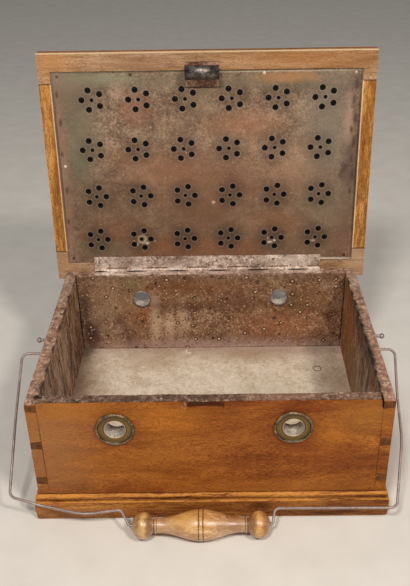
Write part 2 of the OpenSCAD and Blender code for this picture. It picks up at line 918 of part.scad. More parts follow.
ball_line = [for (i = [0 : ball_steps])
    let (a = ball_start + (ball_end - ball_start) * i / ball_steps)
        [ball_half_l * (1 - cos(a)), grip_ball_r * sin(a)]];
collar_line = [
    [collar_at - 0.7, grip_neck_r - 0.5],
    [collar_at, grip_neck_r - 0.4],
    [collar_at + 0.2, collar_r - 0.25],
    [collar_at + 0.5, collar_r],
    [collar_at + collar_l - 0.4, collar_r],
    [collar_at + collar_l, collar_r - 0.3],
    [collar_at + collar_l + 0.3, grip_neck_r + 0.1]
];
swell_line = [for (i = [0 : swell_steps])
    let (t = i / swell_steps, d = swell_from + t * (grip_l / 2 - mid_groove_at - mid_groove_w - swell_from))
        [d, swell_radius(d)]];
groove_line = [
    [grip_l / 2 - mid_groove_at, swell_radius(grip_l / 2 - mid_groove_at) - mid_groove_d],
    [grip_l / 2 - mid_groove_at + mid_groove_w, swell_radius(grip_l / 2 - mid_groove_at + mid_groove_w)]
];
function swell_radius(d) = grip_neck_r + (grip_mid_r - grip_neck_r)
    * (1 - cos(180 * (d - swell_from) / (grip_l / 2 - swell_from))) / 2;
half_line = concat(ball_line, collar_line, swell_line, groove_line);
function mirrored(line) = [for (i = [len(line) - 1 : -1 : 0]) [grip_l - line[i][0], line[i][1]]];

module grip() {
    outline = concat(half_line, mirrored(half_line));
    end_x = half_line[0][0];
    color(turned_wood) bail_place() translate([grip_left_x, -grip_reach, 0]) rotate([0, 90, 0])
        difference() {
            rotate_extrude() polygon(concat(
                [[0, end_x]],
                [for (p = outline) [p[1], p[0]]],
                [[0, grip_l - end_x]]
            ));
            translate([0, 0, -cut]) cylinder(h = grip_l + 2 * cut, r = grip_bore_r);
        }
}

front_board();
back_board();
left_board();
right_board();
bottom_board();
raised_floor();
base_front();
base_back();
base_left();
base_right();
liner_floor();
liner_front();
liner_back();
liner_left();
liner_right();
liner_tacks();
front_left_rosette();
front_right_rosette();
rear_left_rosette();
rear_right_rosette();
front_left_tube();
front_right_tube();
rear_left_tube();
rear_right_tube();
hinge_box_leaf();
hinge_box_nails();
hinge_pin();
pivot_plate_left();
pivot_plate_right();
pivot_plate_nails();
side_stud_left();
side_stud_right();
bail_wire();
grip();
lid_front_rail();
lid_back_rail();
lid_left_stile();
lid_right_stile();
lid_panel();
lid_plate();
lid_plate_tacks();
hinge_lid_leaf();
hinge_lid_nails();
catch_plate();
catch_roll();
catch_nails();
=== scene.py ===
# Looks of the antique foot warmer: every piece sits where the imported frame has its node.
# Lengths are written in millimetres and turned into metres by MM.

import math

import bmesh
import bpy
from mathutils import Euler, Matrix, Vector, noise


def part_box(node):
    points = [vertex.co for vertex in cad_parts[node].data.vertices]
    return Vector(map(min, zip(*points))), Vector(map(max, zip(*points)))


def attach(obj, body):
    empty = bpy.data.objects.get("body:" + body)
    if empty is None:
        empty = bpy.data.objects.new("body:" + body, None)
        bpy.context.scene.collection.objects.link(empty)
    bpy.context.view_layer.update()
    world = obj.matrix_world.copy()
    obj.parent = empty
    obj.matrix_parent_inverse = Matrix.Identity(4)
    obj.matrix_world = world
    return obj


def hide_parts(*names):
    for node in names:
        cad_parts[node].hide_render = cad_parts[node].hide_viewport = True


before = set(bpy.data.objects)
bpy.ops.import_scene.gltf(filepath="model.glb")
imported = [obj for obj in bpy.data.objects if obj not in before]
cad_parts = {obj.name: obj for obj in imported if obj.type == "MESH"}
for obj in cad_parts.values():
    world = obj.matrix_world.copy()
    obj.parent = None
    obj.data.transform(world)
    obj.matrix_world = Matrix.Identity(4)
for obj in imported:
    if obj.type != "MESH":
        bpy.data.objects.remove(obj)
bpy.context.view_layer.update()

MM = 0.001

# Sizes that the part's source also has
LID_OPEN = 95.2
HINGE = Vector((0.0, 107.35, 122.05))
PIVOT = Vector((0.0, 0.0, 95.5))
BAIL_DROP = 32.35
WALL_TOP = 120.5
FLOOR = 33.0
NOTCH_X = -4.6
INNER_X = 136.0
FRONT_VENTS = {"front_left": (-75.7, 96.3), "front_right": (66.0, 96.3)}
REAR_VENTS = {"rear_left": (-70.3, 94.2), "rear_right": (69.0, 94.2)}
ROSETTE_R = 15.8
VENT_R = 8.3
TUBE_T = 0.6
ROLL_R = 7.2
ROLL_W = 31.0
ROLL_REACH = 196.0
ROLL_Z = -6.25
GRIP_REACH = 154.4
GRIP_LEFT = -65.8
GRIP_L = 113.8
GRIP_MID_R = 12.8
GRIP_BALL_R = 11.0
GRIP_NECK_R = 6.05
GRIP_BORE_R = 1.21

LID_PLACE = Matrix.Translation(HINGE) @ Matrix.Rotation(math.radians(-LID_OPEN), 4, "X")
BAIL_PLACE = Matrix.Translation(PIVOT) @ Matrix.Rotation(math.radians(BAIL_DROP), 4, "X")


# Camera


def set_camera():
    """The lens, place and tilt that the photograph was taken with."""
    yaw, pitch, roll = (math.radians(a) for a in (-0.366, 30.461, -0.905))
    ahead = Vector((math.sin(yaw) * math.cos(pitch), math.cos(yaw) * math.cos(pitch), -math.sin(pitch)))
    right = Vector((math.cos(yaw), -math.sin(yaw), 0.0))
    up = right.cross(ahead)
    tilted_right = math.cos(roll) * right + math.sin(roll) * up
    tilted_up = math.cos(roll) * up - math.sin(roll) * right
    lens = bpy.data.cameras.new("view")
    lens.sensor_fit = "VERTICAL"
    lens.sensor_height = 36.0
    lens.lens = 787.69 / 586.0 * 36.0
    lens.shift_x = -10.02 / 586.0
    lens.shift_y = 0.21 / 586.0
    lens.clip_start = 0.01
    lens.clip_end = 50.0
    eye = bpy.data.objects.new("view", lens)
    turn = Matrix((tilted_right, tilted_up, -ahead)).transposed().to_4x4()
    eye.matrix_world = Matrix.Translation(Vector((8.577, -591.667, 504.874)) * MM) @ turn
    bpy.context.scene.collection.objects.link(eye)
    bpy.context.scene.camera = eye


set_camera()


# Making pieces


def keep_mesh(name, shaped, smooth_angle=35.0):
    """A bmesh in millimetres becomes an object in metres. Edges over the angle stay sharp."""
    if smooth_angle:
        for face in shaped.faces:
            face.smooth = True
        for edge in shaped.edges:
            if len(edge.link_faces) == 2 and edge.calc_face_angle(0.0) > math.radians(smooth_angle):
                edge.smooth = False
    bmesh.ops.recalc_face_normals(shaped, faces=shaped.faces)
    mesh = bpy.data.meshes.new(name)
    shaped.to_mesh(mesh)
    shaped.free()
    mesh.transform(Matrix.Scale(MM, 4))
    thing = bpy.data.objects.new(name, mesh)
    bpy.context.scene.collection.objects.link(thing)
    return thing


def place_piece(thing, material, body, nodes):
    """Gives a finished piece its material and its body, and hides the nodes that it stands for."""
    thing.data.materials.clear()
    thing.data.materials.append(material)
    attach(thing, body)
    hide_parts(*nodes)


def node_shape(node):
    """A node's solid as a bmesh in millimetres, with its flat faces whole."""
    shaped = bmesh.new()
    shaped.from_mesh(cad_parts[node].data)
    bmesh.ops.scale(shaped, vec=Vector((1000.0, 1000.0, 1000.0)), verts=shaped.verts)
    bmesh.ops.remove_doubles(shaped, verts=shaped.verts, dist=0.002)
    bmesh.ops.dissolve_limit(shaped, angle_limit=math.radians(1.0), verts=shaped.verts, edges=shaped.edges)
    shaped.normal_update()
    return shaped


def cut_away(shaped, corners):
    """Cuts the block that has the given corners out of a bmesh."""
    block = bmesh.new()
    for corner in corners:
        block.verts.new(corner)
    bmesh.ops.convex_hull(block, input=block.verts)
    tool = keep_mesh("block", block, None)
    rest = keep_mesh("rest", shaped, None)
    cut = rest.modifiers.new("cut", "BOOLEAN")
    cut.operation = "DIFFERENCE"
    cut.solver = "EXACT"
    cut.object = tool
    graph = bpy.context.evaluated_depsgraph_get()
    left = bmesh.new()
    left.from_mesh(rest.evaluated_get(graph).to_mesh())
    bmesh.ops.scale(left, vec=Vector((1000.0, 1000.0, 1000.0)), verts=left.verts)
    bpy.data.objects.remove(rest)
    bpy.data.objects.remove(tool)
    left.normal_update()
    return left


def worn_copy(node, width, cuts=()):
    """A board with its sharp edges eased by width, after blocks are cut away."""
    shaped = node_shape(node)
    for corners in cuts:
        shaped = cut_away(shaped, corners)
    sharp = [e for e in shaped.edges if len(e.link_faces) == 2 and e.calc_face_angle(0.0) > math.radians(30)]
    for face in shaped.faces:
        face.smooth = False
    eased = bmesh.ops.bevel(
        shaped, geom=sharp, offset=width, segments=2, profile=0.5, affect="EDGES", clamp_overlap=True
    )
    for face in eased["faces"]:
        face.smooth = True
    return keep_mesh(node + "_worn", shaped, None)


def dented_copy(node, cell, depth, ragged=0.0, eased=0.0, seed=0.0, cuts=(), sunk=None):
    """A sheet that is wavy by depth and crumpled by ragged, cut into cells so that it can bend.

    A hinge leaf is only sunk, away from the leaf that it folds onto, and its knuckles keep their shape."""
    shaped = node_shape(node)
    for corners in cuts:
        shaped = cut_away(shaped, corners)
    if eased:
        sharp = [e for e in shaped.edges if len(e.link_faces) == 2 and e.calc_face_angle(0.0) > math.radians(50)]
        bmesh.ops.bevel(
            shaped, geom=sharp, offset=eased, segments=1, profile=0.5, affect="EDGES", clamp_overlap=True
        )
    low = [min(v.co[a] for v in shaped.verts) for a in range(3)]
    high = [max(v.co[a] for v in shaped.verts) for a in range(3)]
    for axis in range(3):
        count = int((high[axis] - low[axis]) / cell)
        for k in range(1, count + 1):
            normal = Vector((0.0, 0.0, 0.0))
            normal[axis] = 1.0
            at = Vector(low)
            at[axis] = low[axis] + (high[axis] - low[axis]) * k / (count + 1)
            bmesh.ops.bisect_plane(
                shaped, geom=shaped.verts[:] + shaped.edges[:] + shaped.faces[:], dist=0.001,
                plane_co=at, plane_no=normal,
            )
    bmesh.ops.triangulate(shaped, faces=[f for f in shaped.faces if len(f.verts) > 4])
    for vert in shaped.verts:
        slow = noise.noise_vector(vert.co / 24.0 + Vector((seed, 0.0, 0.0)))
        quick = noise.noise_vector(vert.co / 3.4 + Vector((0.0, seed, 0.0)))
        shift = slow * depth + quick * ragged
        if sunk:
            from_pin = (vert.co.yz - HINGE.yz).length
            shift = Vector(sunk) * (shift.length if from_pin > 3.0 else 0.0)
        vert.co += shift
    return keep_mesh(node + "_beaten", shaped, 32.0)


def lathe(name, outline, place, steps=96):
    """Turns a closed outline of (radius, height) points about the local Z axis."""
    shaped = bmesh.new()
    rings = []
    for radius, height in outline:
        turns = [2.0 * math.pi * k / steps for k in range(steps)]
        rings.append([
            shaped.verts.new(place @ Vector((radius * math.cos(a), radius * math.sin(a), height))) for a in turns
        ])
    for low, high in zip(rings, rings[1:] + rings[:1]):
        for k in range(steps):
            n = (k + 1) % steps
            shaped.faces.new((low[k], low[n], high[n], high[k]))
    return keep_mesh(name, shaped, 40.0)


def strip(name, line, width, thick, place):
    """A strip of the given thickness that follows a line of (y, z) points, and is width wide along X."""
    shaped = bmesh.new()
    rings = []
    for k, (y, z) in enumerate(line):
        before = Vector(line[max(k - 1, 0)])
        after = Vector(line[min(k + 1, len(line) - 1)])
        way = (after - before).normalized()
        across = Vector((-way.y, way.x)) * thick / 2.0
        ring = []
        for x, side in ((-width / 2, 1), (width / 2, 1), (width / 2, -1), (-width / 2, -1)):
            ring.append(shaped.verts.new(place @ Vector((x, y + side * across.x, z + side * across.y))))
        rings.append(ring)
    for low, high in zip(rings, rings[1:]):
        for k in range(4):
            n = (k + 1) % 4
            shaped.faces.new((low[k], low[n], high[n], high[k]))
    shaped.faces.new(rings[0])
    shaped.faces.new(list(reversed(rings[-1])))
    return keep_mesh(name, shaped, 40.0)


# Making materials

NOISE = "ShaderNodeTexNoise"
CELLS = "ShaderNodeTexVoronoi"
MATHS = "ShaderNodeMath"
VECTORS = "ShaderNodeVectorMath"
RAMP = "ShaderNodeValToRGB"
RANGE = "ShaderNodeMapRange"
MIX = "ShaderNodeMix"
MAPPING = "ShaderNodeMapping"
PLACES = "ShaderNodeTexCoord"
PARTS = "ShaderNodeSeparateXYZ"
RELIEF = "ShaderNodeBump"


def linear(text):
    """An sRGB hex colour as linear light."""
    parts = [int(text[i : i + 2], 16) / 255.0 for i in (1, 3, 5)]
    return tuple(p / 12.92 if p <= 0.04045 else ((p + 0.055) / 1.055) ** 2.4 for p in parts) + (1.0,)


def add(tree, kind, inputs=None, stops=None, out=0, **settings):
    """Adds a node, sets it up, fills its inputs with values or links, and gives back one of its outputs."""
    made = tree.nodes.new(kind)
    for key, value in settings.items():
        setattr(made, key, value)
    for place, (at, colour) in enumerate(stops or []):
        ramp = made.color_ramp.elements
        if place >= len(ramp):
            ramp.new(at)
        ramp[place].position = at
        ramp[place].color = linear(colour)
    for key, value in (inputs or {}).items():
        if isinstance(value, bpy.types.NodeSocket):
            tree.links.new(value, made.inputs[key])
        else:
            made.inputs[key].default_value = value
    return made.outputs[out]


def start_material(name, roughness=0.5, metallic=0.0, specular=0.5, coat=0.0):
    """A material with its shader, and the constants on the shader's own sockets."""
    material = bpy.data.materials.new(name)
    material.use_nodes = True
    tree = material.node_tree
    shader = tree.nodes["Principled BSDF"]
    shader.inputs["Roughness"].default_value = roughness
    shader.inputs["Metallic"].default_value = metallic
    shader.inputs["Specular IOR Level"].default_value = specular
    shader.inputs["Coat Weight"].default_value = coat
    shader.inputs["Coat Roughness"].default_value = 0.3
    return material, tree, shader


def own_place(tree, turned=(0.0, 0.0, 0.0), about=(0.0, 0.0, 0.0)):
    """The place on the piece in its own millimetres: turned in degrees, and counted from about."""
    turn = Euler([math.radians(a) for a in turned])
    shift = -(turn.to_matrix() @ Vector(about))
    at_rest = add(tree, PLACES, out="Object")
    return add(tree, MAPPING, {"Vector": at_rest, "Location": shift, "Rotation": turn, "Scale": (1000.0,) * 3})


def shaken(tree, place, amount, size):
    """The same place moved about by up to half the amount, so that what is drawn on it gets a ragged edge."""
    cloud = add(tree, NOISE, {"Vector": place, "Scale": 1.0 / size, "Detail": 4.0, "Roughness": 0.65}, out="Color")
    shake = add(tree, VECTORS, {0: cloud, 1: (0.5,) * 3}, operation="SUBTRACT")
    return add(tree, VECTORS, {0: shake, 1: (2.0 * amount,) * 3, 2: place}, operation="MULTIPLY_ADD")


def lay_marks(tree, place, colour, marks, shake=0.0):
    """Lays marks over a colour, each with its middle, half sizes in mm, softness, colour and strength."""
    if marks and shake:
        place = shaken(tree, place, shake, 1.3 * shake)
    for middle, size, soft, tint, strength in marks:
        near = add(tree, MAPPING, {
            "Vector": place, "Location": [-m / s for m, s in zip(middle, size)], "Scale": [1.0 / s for s in size],
        })
        far = add(tree, VECTORS, {0: near}, out="Value", operation="LENGTH")
        inside = add(tree, RANGE, {
            "Value": far, "From Min": 1.0 + soft, "From Max": 1.0 - soft, "To Min": 0.0, "To Max": strength,
        })
        colour = add(tree, MIX, {0: inside, 6: colour, 7: linear(tint)}, out=2, data_type="RGBA")
    return colour


def lay_flecks(tree, place, colour, flecks):
    """Lays round flecks over a colour, each kind with its spacing and radius in mm, its share, colour and strength."""
    for spacing, radius, share, tint, strength in flecks:
        at = add(tree, MAPPING, {"Vector": place, "Location": (spacing, share, 0.5), "Scale": (1.0 / spacing,) * 3})
        cells = add(tree, CELLS, {"Vector": at, "Scale": 1.0})
        tag = add(tree, CELLS, {"Vector": at, "Scale": 1.0}, out="Color")
        dice = add(tree, PARTS, {0: tag})
        picked = add(tree, RANGE, {"Value": dice, "From Min": share, "From Max": share - 0.02})
        inside = add(tree, RANGE, {
            "Value": cells, "From Min": 1.2 * radius / spacing, "From Max": 0.8 * radius / spacing, "To Max": strength,
        })
        both = add(tree, MATHS, {0: picked, 1: inside}, operation="MULTIPLY")
        colour = add(tree, MIX, {0: both, 6: colour, 7: linear(tint)}, out=2, data_type="RGBA")
    return colour


def sum_fields(tree, fields):
    """The sum of fields, each taken by its share."""
    total = 0.0
    for field, share in fields:
        total = add(tree, MATHS, {0: field, 1: share, 2: total}, operation="MULTIPLY_ADD")
    return total


def finish_material(tree, shader, colour, rough, height, depth):
    """Links the colour, a roughness field with its two ends, and a relief that is depth millimetres high."""
    tree.links.new(colour, shader.inputs["Base Color"])
    field, low, high = rough
    tree.links.new(
        add(tree, RANGE, {"Value": field, "From Min": 0.35, "From Max": 0.65, "To Min": low, "To Max": high}),
        shader.inputs["Roughness"],
    )
    tree.links.new(add(tree, RELIEF, {"Height": height, "Distance": depth * MM, "Strength": 0.8}), shader.inputs["Normal"])


# Woods

ANYWHERE = 9000.0
ALONG_Y = (0.0, 0.0, -90.0)
LID_X = {"turned": (LID_OPEN, 0.0, 0.0), "about": HINGE}
LID_Y = {"turned": (LID_OPEN, 0.0, -90.0), "about": HINGE}


def old_wood(
    name, dark, mid, light, pore, turned=(0.0, 0.0, 0.0), about=(0.0, 0.0, 0.0), ends=None, end_axis=1, marks=(),
    lines_on=(), arris=None, roughness=0.5, specular=0.14, coat=0.0, pore_share=0.7, depth=0.25, seed=0.0, straight=0.14,
    figure=0.6, outside=None,
):
    """Planed hardwood with its grain along the piece's own X, darker end grain and marks where they are listed.

    Outside gives the three colours that a lid's piece has away from its inner face."""
    material, tree, shader = start_material(name, specular=specular, coat=coat)
    place = own_place(tree, turned, about)
    grain = add(tree, MAPPING, {"Vector": place, "Location": (seed, 7.0 * seed, 3.0 * seed), "Scale": (straight, 1.0, 1.0)})
    # Colour clouds about 30 mm high, growth lines 3 mm, and fibres 0.8 mm apart
    cloud = add(tree, NOISE, {"Vector": grain, "Scale": 0.035, "Detail": 5.0, "Roughness": 0.65, "Distortion": 1.5})
    lines = add(tree, NOISE, {"Vector": grain, "Scale": 0.3, "Detail": 6.0, "Roughness": 0.7, "Distortion": figure})
    fibre = add(tree, NOISE, {"Vector": grain, "Scale": 1.1, "Detail": 3.0, "Roughness": 0.75})
    tone = sum_fields(tree, ((cloud, 0.42), (lines, 0.36), (fibre, 0.22)))
    colour = add(tree, RAMP, {"Fac": tone}, stops=[(0.41, dark), (0.5, mid), (0.59, light)])
    # Open pores are drawn 0.6 mm high and 3 mm long, coarser than real ones, so that they show
    short = add(tree, MAPPING, {"Vector": place, "Location": (0.0, seed, 0.0), "Scale": (0.36, 1.3, 1.3)})
    holes = add(tree, NOISE, {"Vector": short, "Scale": 1.0, "Detail": 2.0, "Roughness": 0.6})
    pores = add(tree, RANGE, {"Value": holes, "From Min": 0.56, "From Max": 0.66, "To Max": pore_share})
    colour = add(tree, MIX, {0: pores, 6: colour, 7: linear(pore)}, out=2, data_type="RGBA")
    colour = lay_marks(tree, place, colour, marks, 7.0)
    if outside:
        height = add(tree, PARTS, {0: shaken(tree, place, 1.5, 5.0)}, out=2)
        away = add(tree, RANGE, {"Value": height, "From Min": 3.6, "From Max": 8.0})
        finish = add(tree, RAMP, {"Fac": tone}, stops=[(0.41, outside[0]), (0.5, outside[1]), (0.59, outside[2])])
        finish = add(tree, MIX, {0: pores, 6: finish, 7: linear("#401C08")}, out=2, data_type="RGBA")
        colour = add(tree, MIX, {0: away, 6: colour, 7: finish}, out=2, data_type="RGBA")
    colour = lay_marks(tree, place, colour, lines_on, 0.5)
    facing = add(tree, PLACES, out="Normal")
    if ends:
        split = add(tree, PARTS, {0: facing}, out=end_axis)
        square = add(tree, MATHS, {0: split, 1: split}, operation="MULTIPLY")
        on_end = add(tree, RANGE, {"Value": square, "From Min": 0.6, "From Max": 0.9})
        end_tone = add(tree, RAMP, {"Fac": lines}, stops=[(0.35, ends[0]), (0.65, ends[1])])
        colour = add(tree, MIX, {0: on_end, 6: colour, 7: end_tone}, out=2, data_type="RGBA")
    if arris:
        # Rubbed arrises: a face that looks along none of the three axes is one of them
        bent = add(tree, VECTORS, {0: facing, 1: facing}, operation="MULTIPLY")
        fourth = add(tree, VECTORS, {0: bent, 1: bent}, out="Value", operation="DOT_PRODUCT")
        rubbed = add(tree, RANGE, {"Value": fourth, "From Min": 0.97, "From Max": 0.7, "To Max": 0.75})
        patchy = add(tree, RANGE, {"Value": lines, "From Min": 0.38, "From Max": 0.52})
        worn = add(tree, MATHS, {0: rubbed, 1: patchy}, operation="MULTIPLY")
        colour = add(tree, MIX, {0: worn, 6: colour, 7: linear(arris)}, out=2, data_type="RGBA")
    relief = sum_fields(tree, ((lines, 0.5), (fibre, 0.5), (pores, -0.9)))
    finish_material(tree, shader, colour, (cloud, roughness - 0.1, roughness + 0.12), relief, depth)
    return material


# Painted shade: dark lines in the dovetail joints at both ends, and in the seam above the moulding
JOINT_SHADE_LINES = [
    ((-135.9, 0, 74), (0.4, ANYWHERE, 46), 0.5, "#3A1C10", 0.75),
    ((135.9, 0, 66), (0.4, ANYWHERE, 40), 0.5, "#3A1C10", 0.7),
    ((0, 0, 26.6), (ANYWHERE, ANYWHERE, 0.7), 0.5, "#2A140A", 0.8),
]

# Shellac over an orange brown hardwood: saturated, warm, nearly matt, darker where hands and heat have been
front_wood = old_wood(
    "shellacked_front", "#66310E", "#94531E", "#B87230", "#401C08", seed=1.3, straight=0.26, figure=2.2, depth=0.35,
    ends=("#4A2A16", "#6E4422"),
    end_axis=0, arris="#B88850", lines_on=JOINT_SHADE_LINES + [
        # Painted shade: the finger notch's recess is painted dark
        ((NOTCH_X, -102.2, 117.4), (17.2, 4.4, 5.4), 0.1, "#3C1C0E", 0.9),
        ((NOTCH_X + 2, -104.5, 115.2), (12, 2.0, 0.8), 0.4, "#9A5A2C", 0.8),
        # Painted shade: the torn gap at the top left corner is painted near black
        ((-134.6, -98.0, 120.6), (3.4, 3.4, 2.0), 0.3, "#0E0906", 0.95),
        ((NOTCH_X - 15.4, -105, 117), (1.6, 3.0, 2.4), 0.5, "#B88A5C", 0.85),
    ],
    marks=[
        ((NOTCH_X, -100, 122), (24, ANYWHERE, 13), 0.6, "#5A2E14", 0.55),
        ((-75.7, 0, 96.3), (25, ANYWHERE, 22), 0.35, "#6E3410", 0.45),
        ((66, 0, 96.3), (27, ANYWHERE, 24), 0.35, "#642A0A", 0.5),
        ((-130, 0, 80), (32, ANYWHERE, 60), 0.6, "#9E6C42", 0.65), ((0, 0, 30), (150, ANYWHERE, 5), 0.6, "#6E3410", 0.4),
        ((60, 0, 118), (60, ANYWHERE, 4), 0.6, "#7E3E14", 0.5),
        ((-104, 0, 114), (46, ANYWHERE, 9), 0.6, "#AA6A24", 0.5),
        ((-25, 0, 104), (30, ANYWHERE, 16), 0.7, "#C07620", 0.4),
        ((14, 0, 96), (26, ANYWHERE, 30), 0.6, "#6E3410", 0.4),
        ((10, 0, 55), (60, ANYWHERE, 12), 0.8, "#6A300C", 0.35),
        ((95, 0, 66), (36, ANYWHERE, 18), 0.7, "#7A3A10", 0.4),
        ((-30, 0, 38), (60, ANYWHERE, 12), 0.8, "#B86E26", 0.2),
        ((124, 0, 106), (22, ANYWHERE, 16), 0.7, "#AC7230", 0.5),
        ((70, 0, 30), (70, ANYWHERE, 9), 0.6, "#A4672A", 0.4), ((-70, 0, 62), (40, ANYWHERE, 14), 0.8, "#A86820", 0.35),
        ((120, 0, 46), (18, ANYWHERE, 20), 0.7, "#6E3A14", 0.45), ((96, 0, 88), (10, ANYWHERE, 10), 0.7, "#B06C22", 0.4),
        ((-40, 0, 80), (20, ANYWHERE, 12), 0.8, "#7E4A1C", 0.4),
    ],
)
plain_front_wood = old_wood(
    "shellacked_back", "#6B340E", "#96541C", "#B26C2C", "#4A220A", seed=5.7, ends=("#4A2A16", "#6E4422"),
    end_axis=0, arris="#B88850", lines_on=JOINT_SHADE_LINES,
)
side_wood = old_wood(
    "shellacked_sides", "#6B340E", "#92521E", "#B26C2C", "#4A220A", turned=ALONG_Y, seed=2.9,
    ends=("#4A2A16", "#75481F"), arris="#B88850",
)
# Coarser wood with open black pores, and a bead that hands have rubbed pale
# Painted shadow: the three dark marks lie behind and beside the grip and its wire; the pale one at the left end is a
# stain
MOULDING_STAINS_AND_GRIP_SHADE = [
    ((42, 0, 14), (8, ANYWHERE, 5), 0.6, "#2E1408", 0.7),
    ((90, 0, 12), (60, ANYWHERE, 12), 0.7, "#5E3010", 0.45),
    ((-10, 0, 12), (60, ANYWHERE, 10), 0.7, "#5A2A0E", 0.5),
    ((-125, 0, 8), (40, ANYWHERE, 8), 0.7, "#8E6642", 0.5),
]
moulding_x = old_wood(
    "shellacked_moulding", "#64300E", "#A3622A", "#CC8A40", "#261006", seed=8.2, marks=MOULDING_STAINS_AND_GRIP_SHADE, arris="#C8883E",
    # Painted shade: the dark line in the groove under the bead
    pore_share=0.9, lines_on=[((0, 0, 21.2), (ANYWHERE, ANYWHERE, 0.5), 0.5, "#2A1206", 0.45)],
)
moulding_y = old_wood(
    "shellacked_side_moulding", "#64300E", "#A3622A", "#CC8A40", "#261006", turned=ALONG_Y, seed=9.4, arris="#C8883E",
    # Painted shade: the dark line in the groove under the bead
    pore_share=0.9, lines_on=[((0, 0, 21.2), (ANYWHERE, ANYWHERE, 0.5), 0.5, "#2A1206", 0.45)],
)
# Deal that was never finished: dull, fibrous and grey brown
under_wood = old_wood("bare_deal", "#5E4127", "#7F5E3C", "#9A7850", "#3A2717", specular=0.05, roughness=0.8)
# Dark lines in the joints between rails and stiles, partly dirt and partly painted shade, and a pale line that is a
# painted highlight on the arris of the rebate that the plate lies in
RAIL_JOINTS = [((0, y, 1), (ANYWHERE, 0.6, 2), 0.4, "#4A2A14", 0.8) for y in (-185.4, -20.5)]
STILE_JOINTS = [((y, 0, 1), (0.6, ANYWHERE, 2), 0.4, "#4A2A14", 0.8) for y in (-185.2, -20.7)]
REBATE_HIGHLIGHT = [((0, x, 0.9), (ANYWHERE, 0.7, 0.7), 0.5, "#EAD2AE", 0.6) for x in (143.3, -142.2)]

SHELLAC = ("#66310E", "#94531E", "#B87230")

# The lid's frame is the same wood rubbed bare inside: rails gone pinkish, stiles still honey yellow
front_rail_wood = old_wood(
    "rubbed_front_rail", "#7C5838", "#9C7956", "#BE9878", "#6A4428", **LID_X, seed=3.1, arris="#E0C09A",
    # The pale line along the free edge is a painted highlight on its arris
    outside=SHELLAC, lines_on=RAIL_JOINTS + [((0, -212.6, 0.9), (ANYWHERE, 0.8, 1.0), 0.5, "#E8D0A8", 0.6)],
    marks=[
        ((-60, -203, 0), (40, 14, ANYWHERE), 0.7, "#9A7862", 0.4),
        ((90, -205, 0), (60, 10, ANYWHERE), 0.7, "#A06A3A", 0.6),
        ((-140, -205, 0), (16, 14, ANYWHERE), 0.7, "#C08650", 0.5),
    ],
)
back_rail_wood = old_wood(
    "rubbed_back_rail", "#7C5A3E", "#9A7856", "#B8967A", "#5A3C26", **LID_X, seed=6.4, arris="#C8A888",
    outside=SHELLAC, lines_on=RAIL_JOINTS, marks=[
        ((146, -8, 0), (14, 12, ANYWHERE), 0.6, "#BC9878", 0.7), ((-146, -8, 0), (12, 12, ANYWHERE), 0.6, "#A88058", 0.5),
        ((100, -7.6, 0), (50, 0.8, ANYWHERE), 0.5, "#3E2616", 0.7),
    ],
)
stile_wood = old_wood(
    "rubbed_stile", "#70441A", "#9C682F", "#CE9450", "#5E3412", **LID_Y, seed=4.4, arris="#F0D4A8", straight=0.2,
    outside=SHELLAC, lines_on=STILE_JOINTS + REBATE_HIGHLIGHT,
)
# Painted shade: the panel's inner side and the walls of its holes, up to about 1 mm below the outer face, are painted
# nearly black so that the holes look dark
panel_wood = old_wood(
    "drilled_panel", "#66310E", "#94531E", "#B87230", "#401C08", **LID_X, seed=2.2, figure=1.2,
    lines_on=[((0, -105, 3.2), (ANYWHERE, ANYWHERE, 7.6), 0.05, "#0E0907", 1.0)],
)
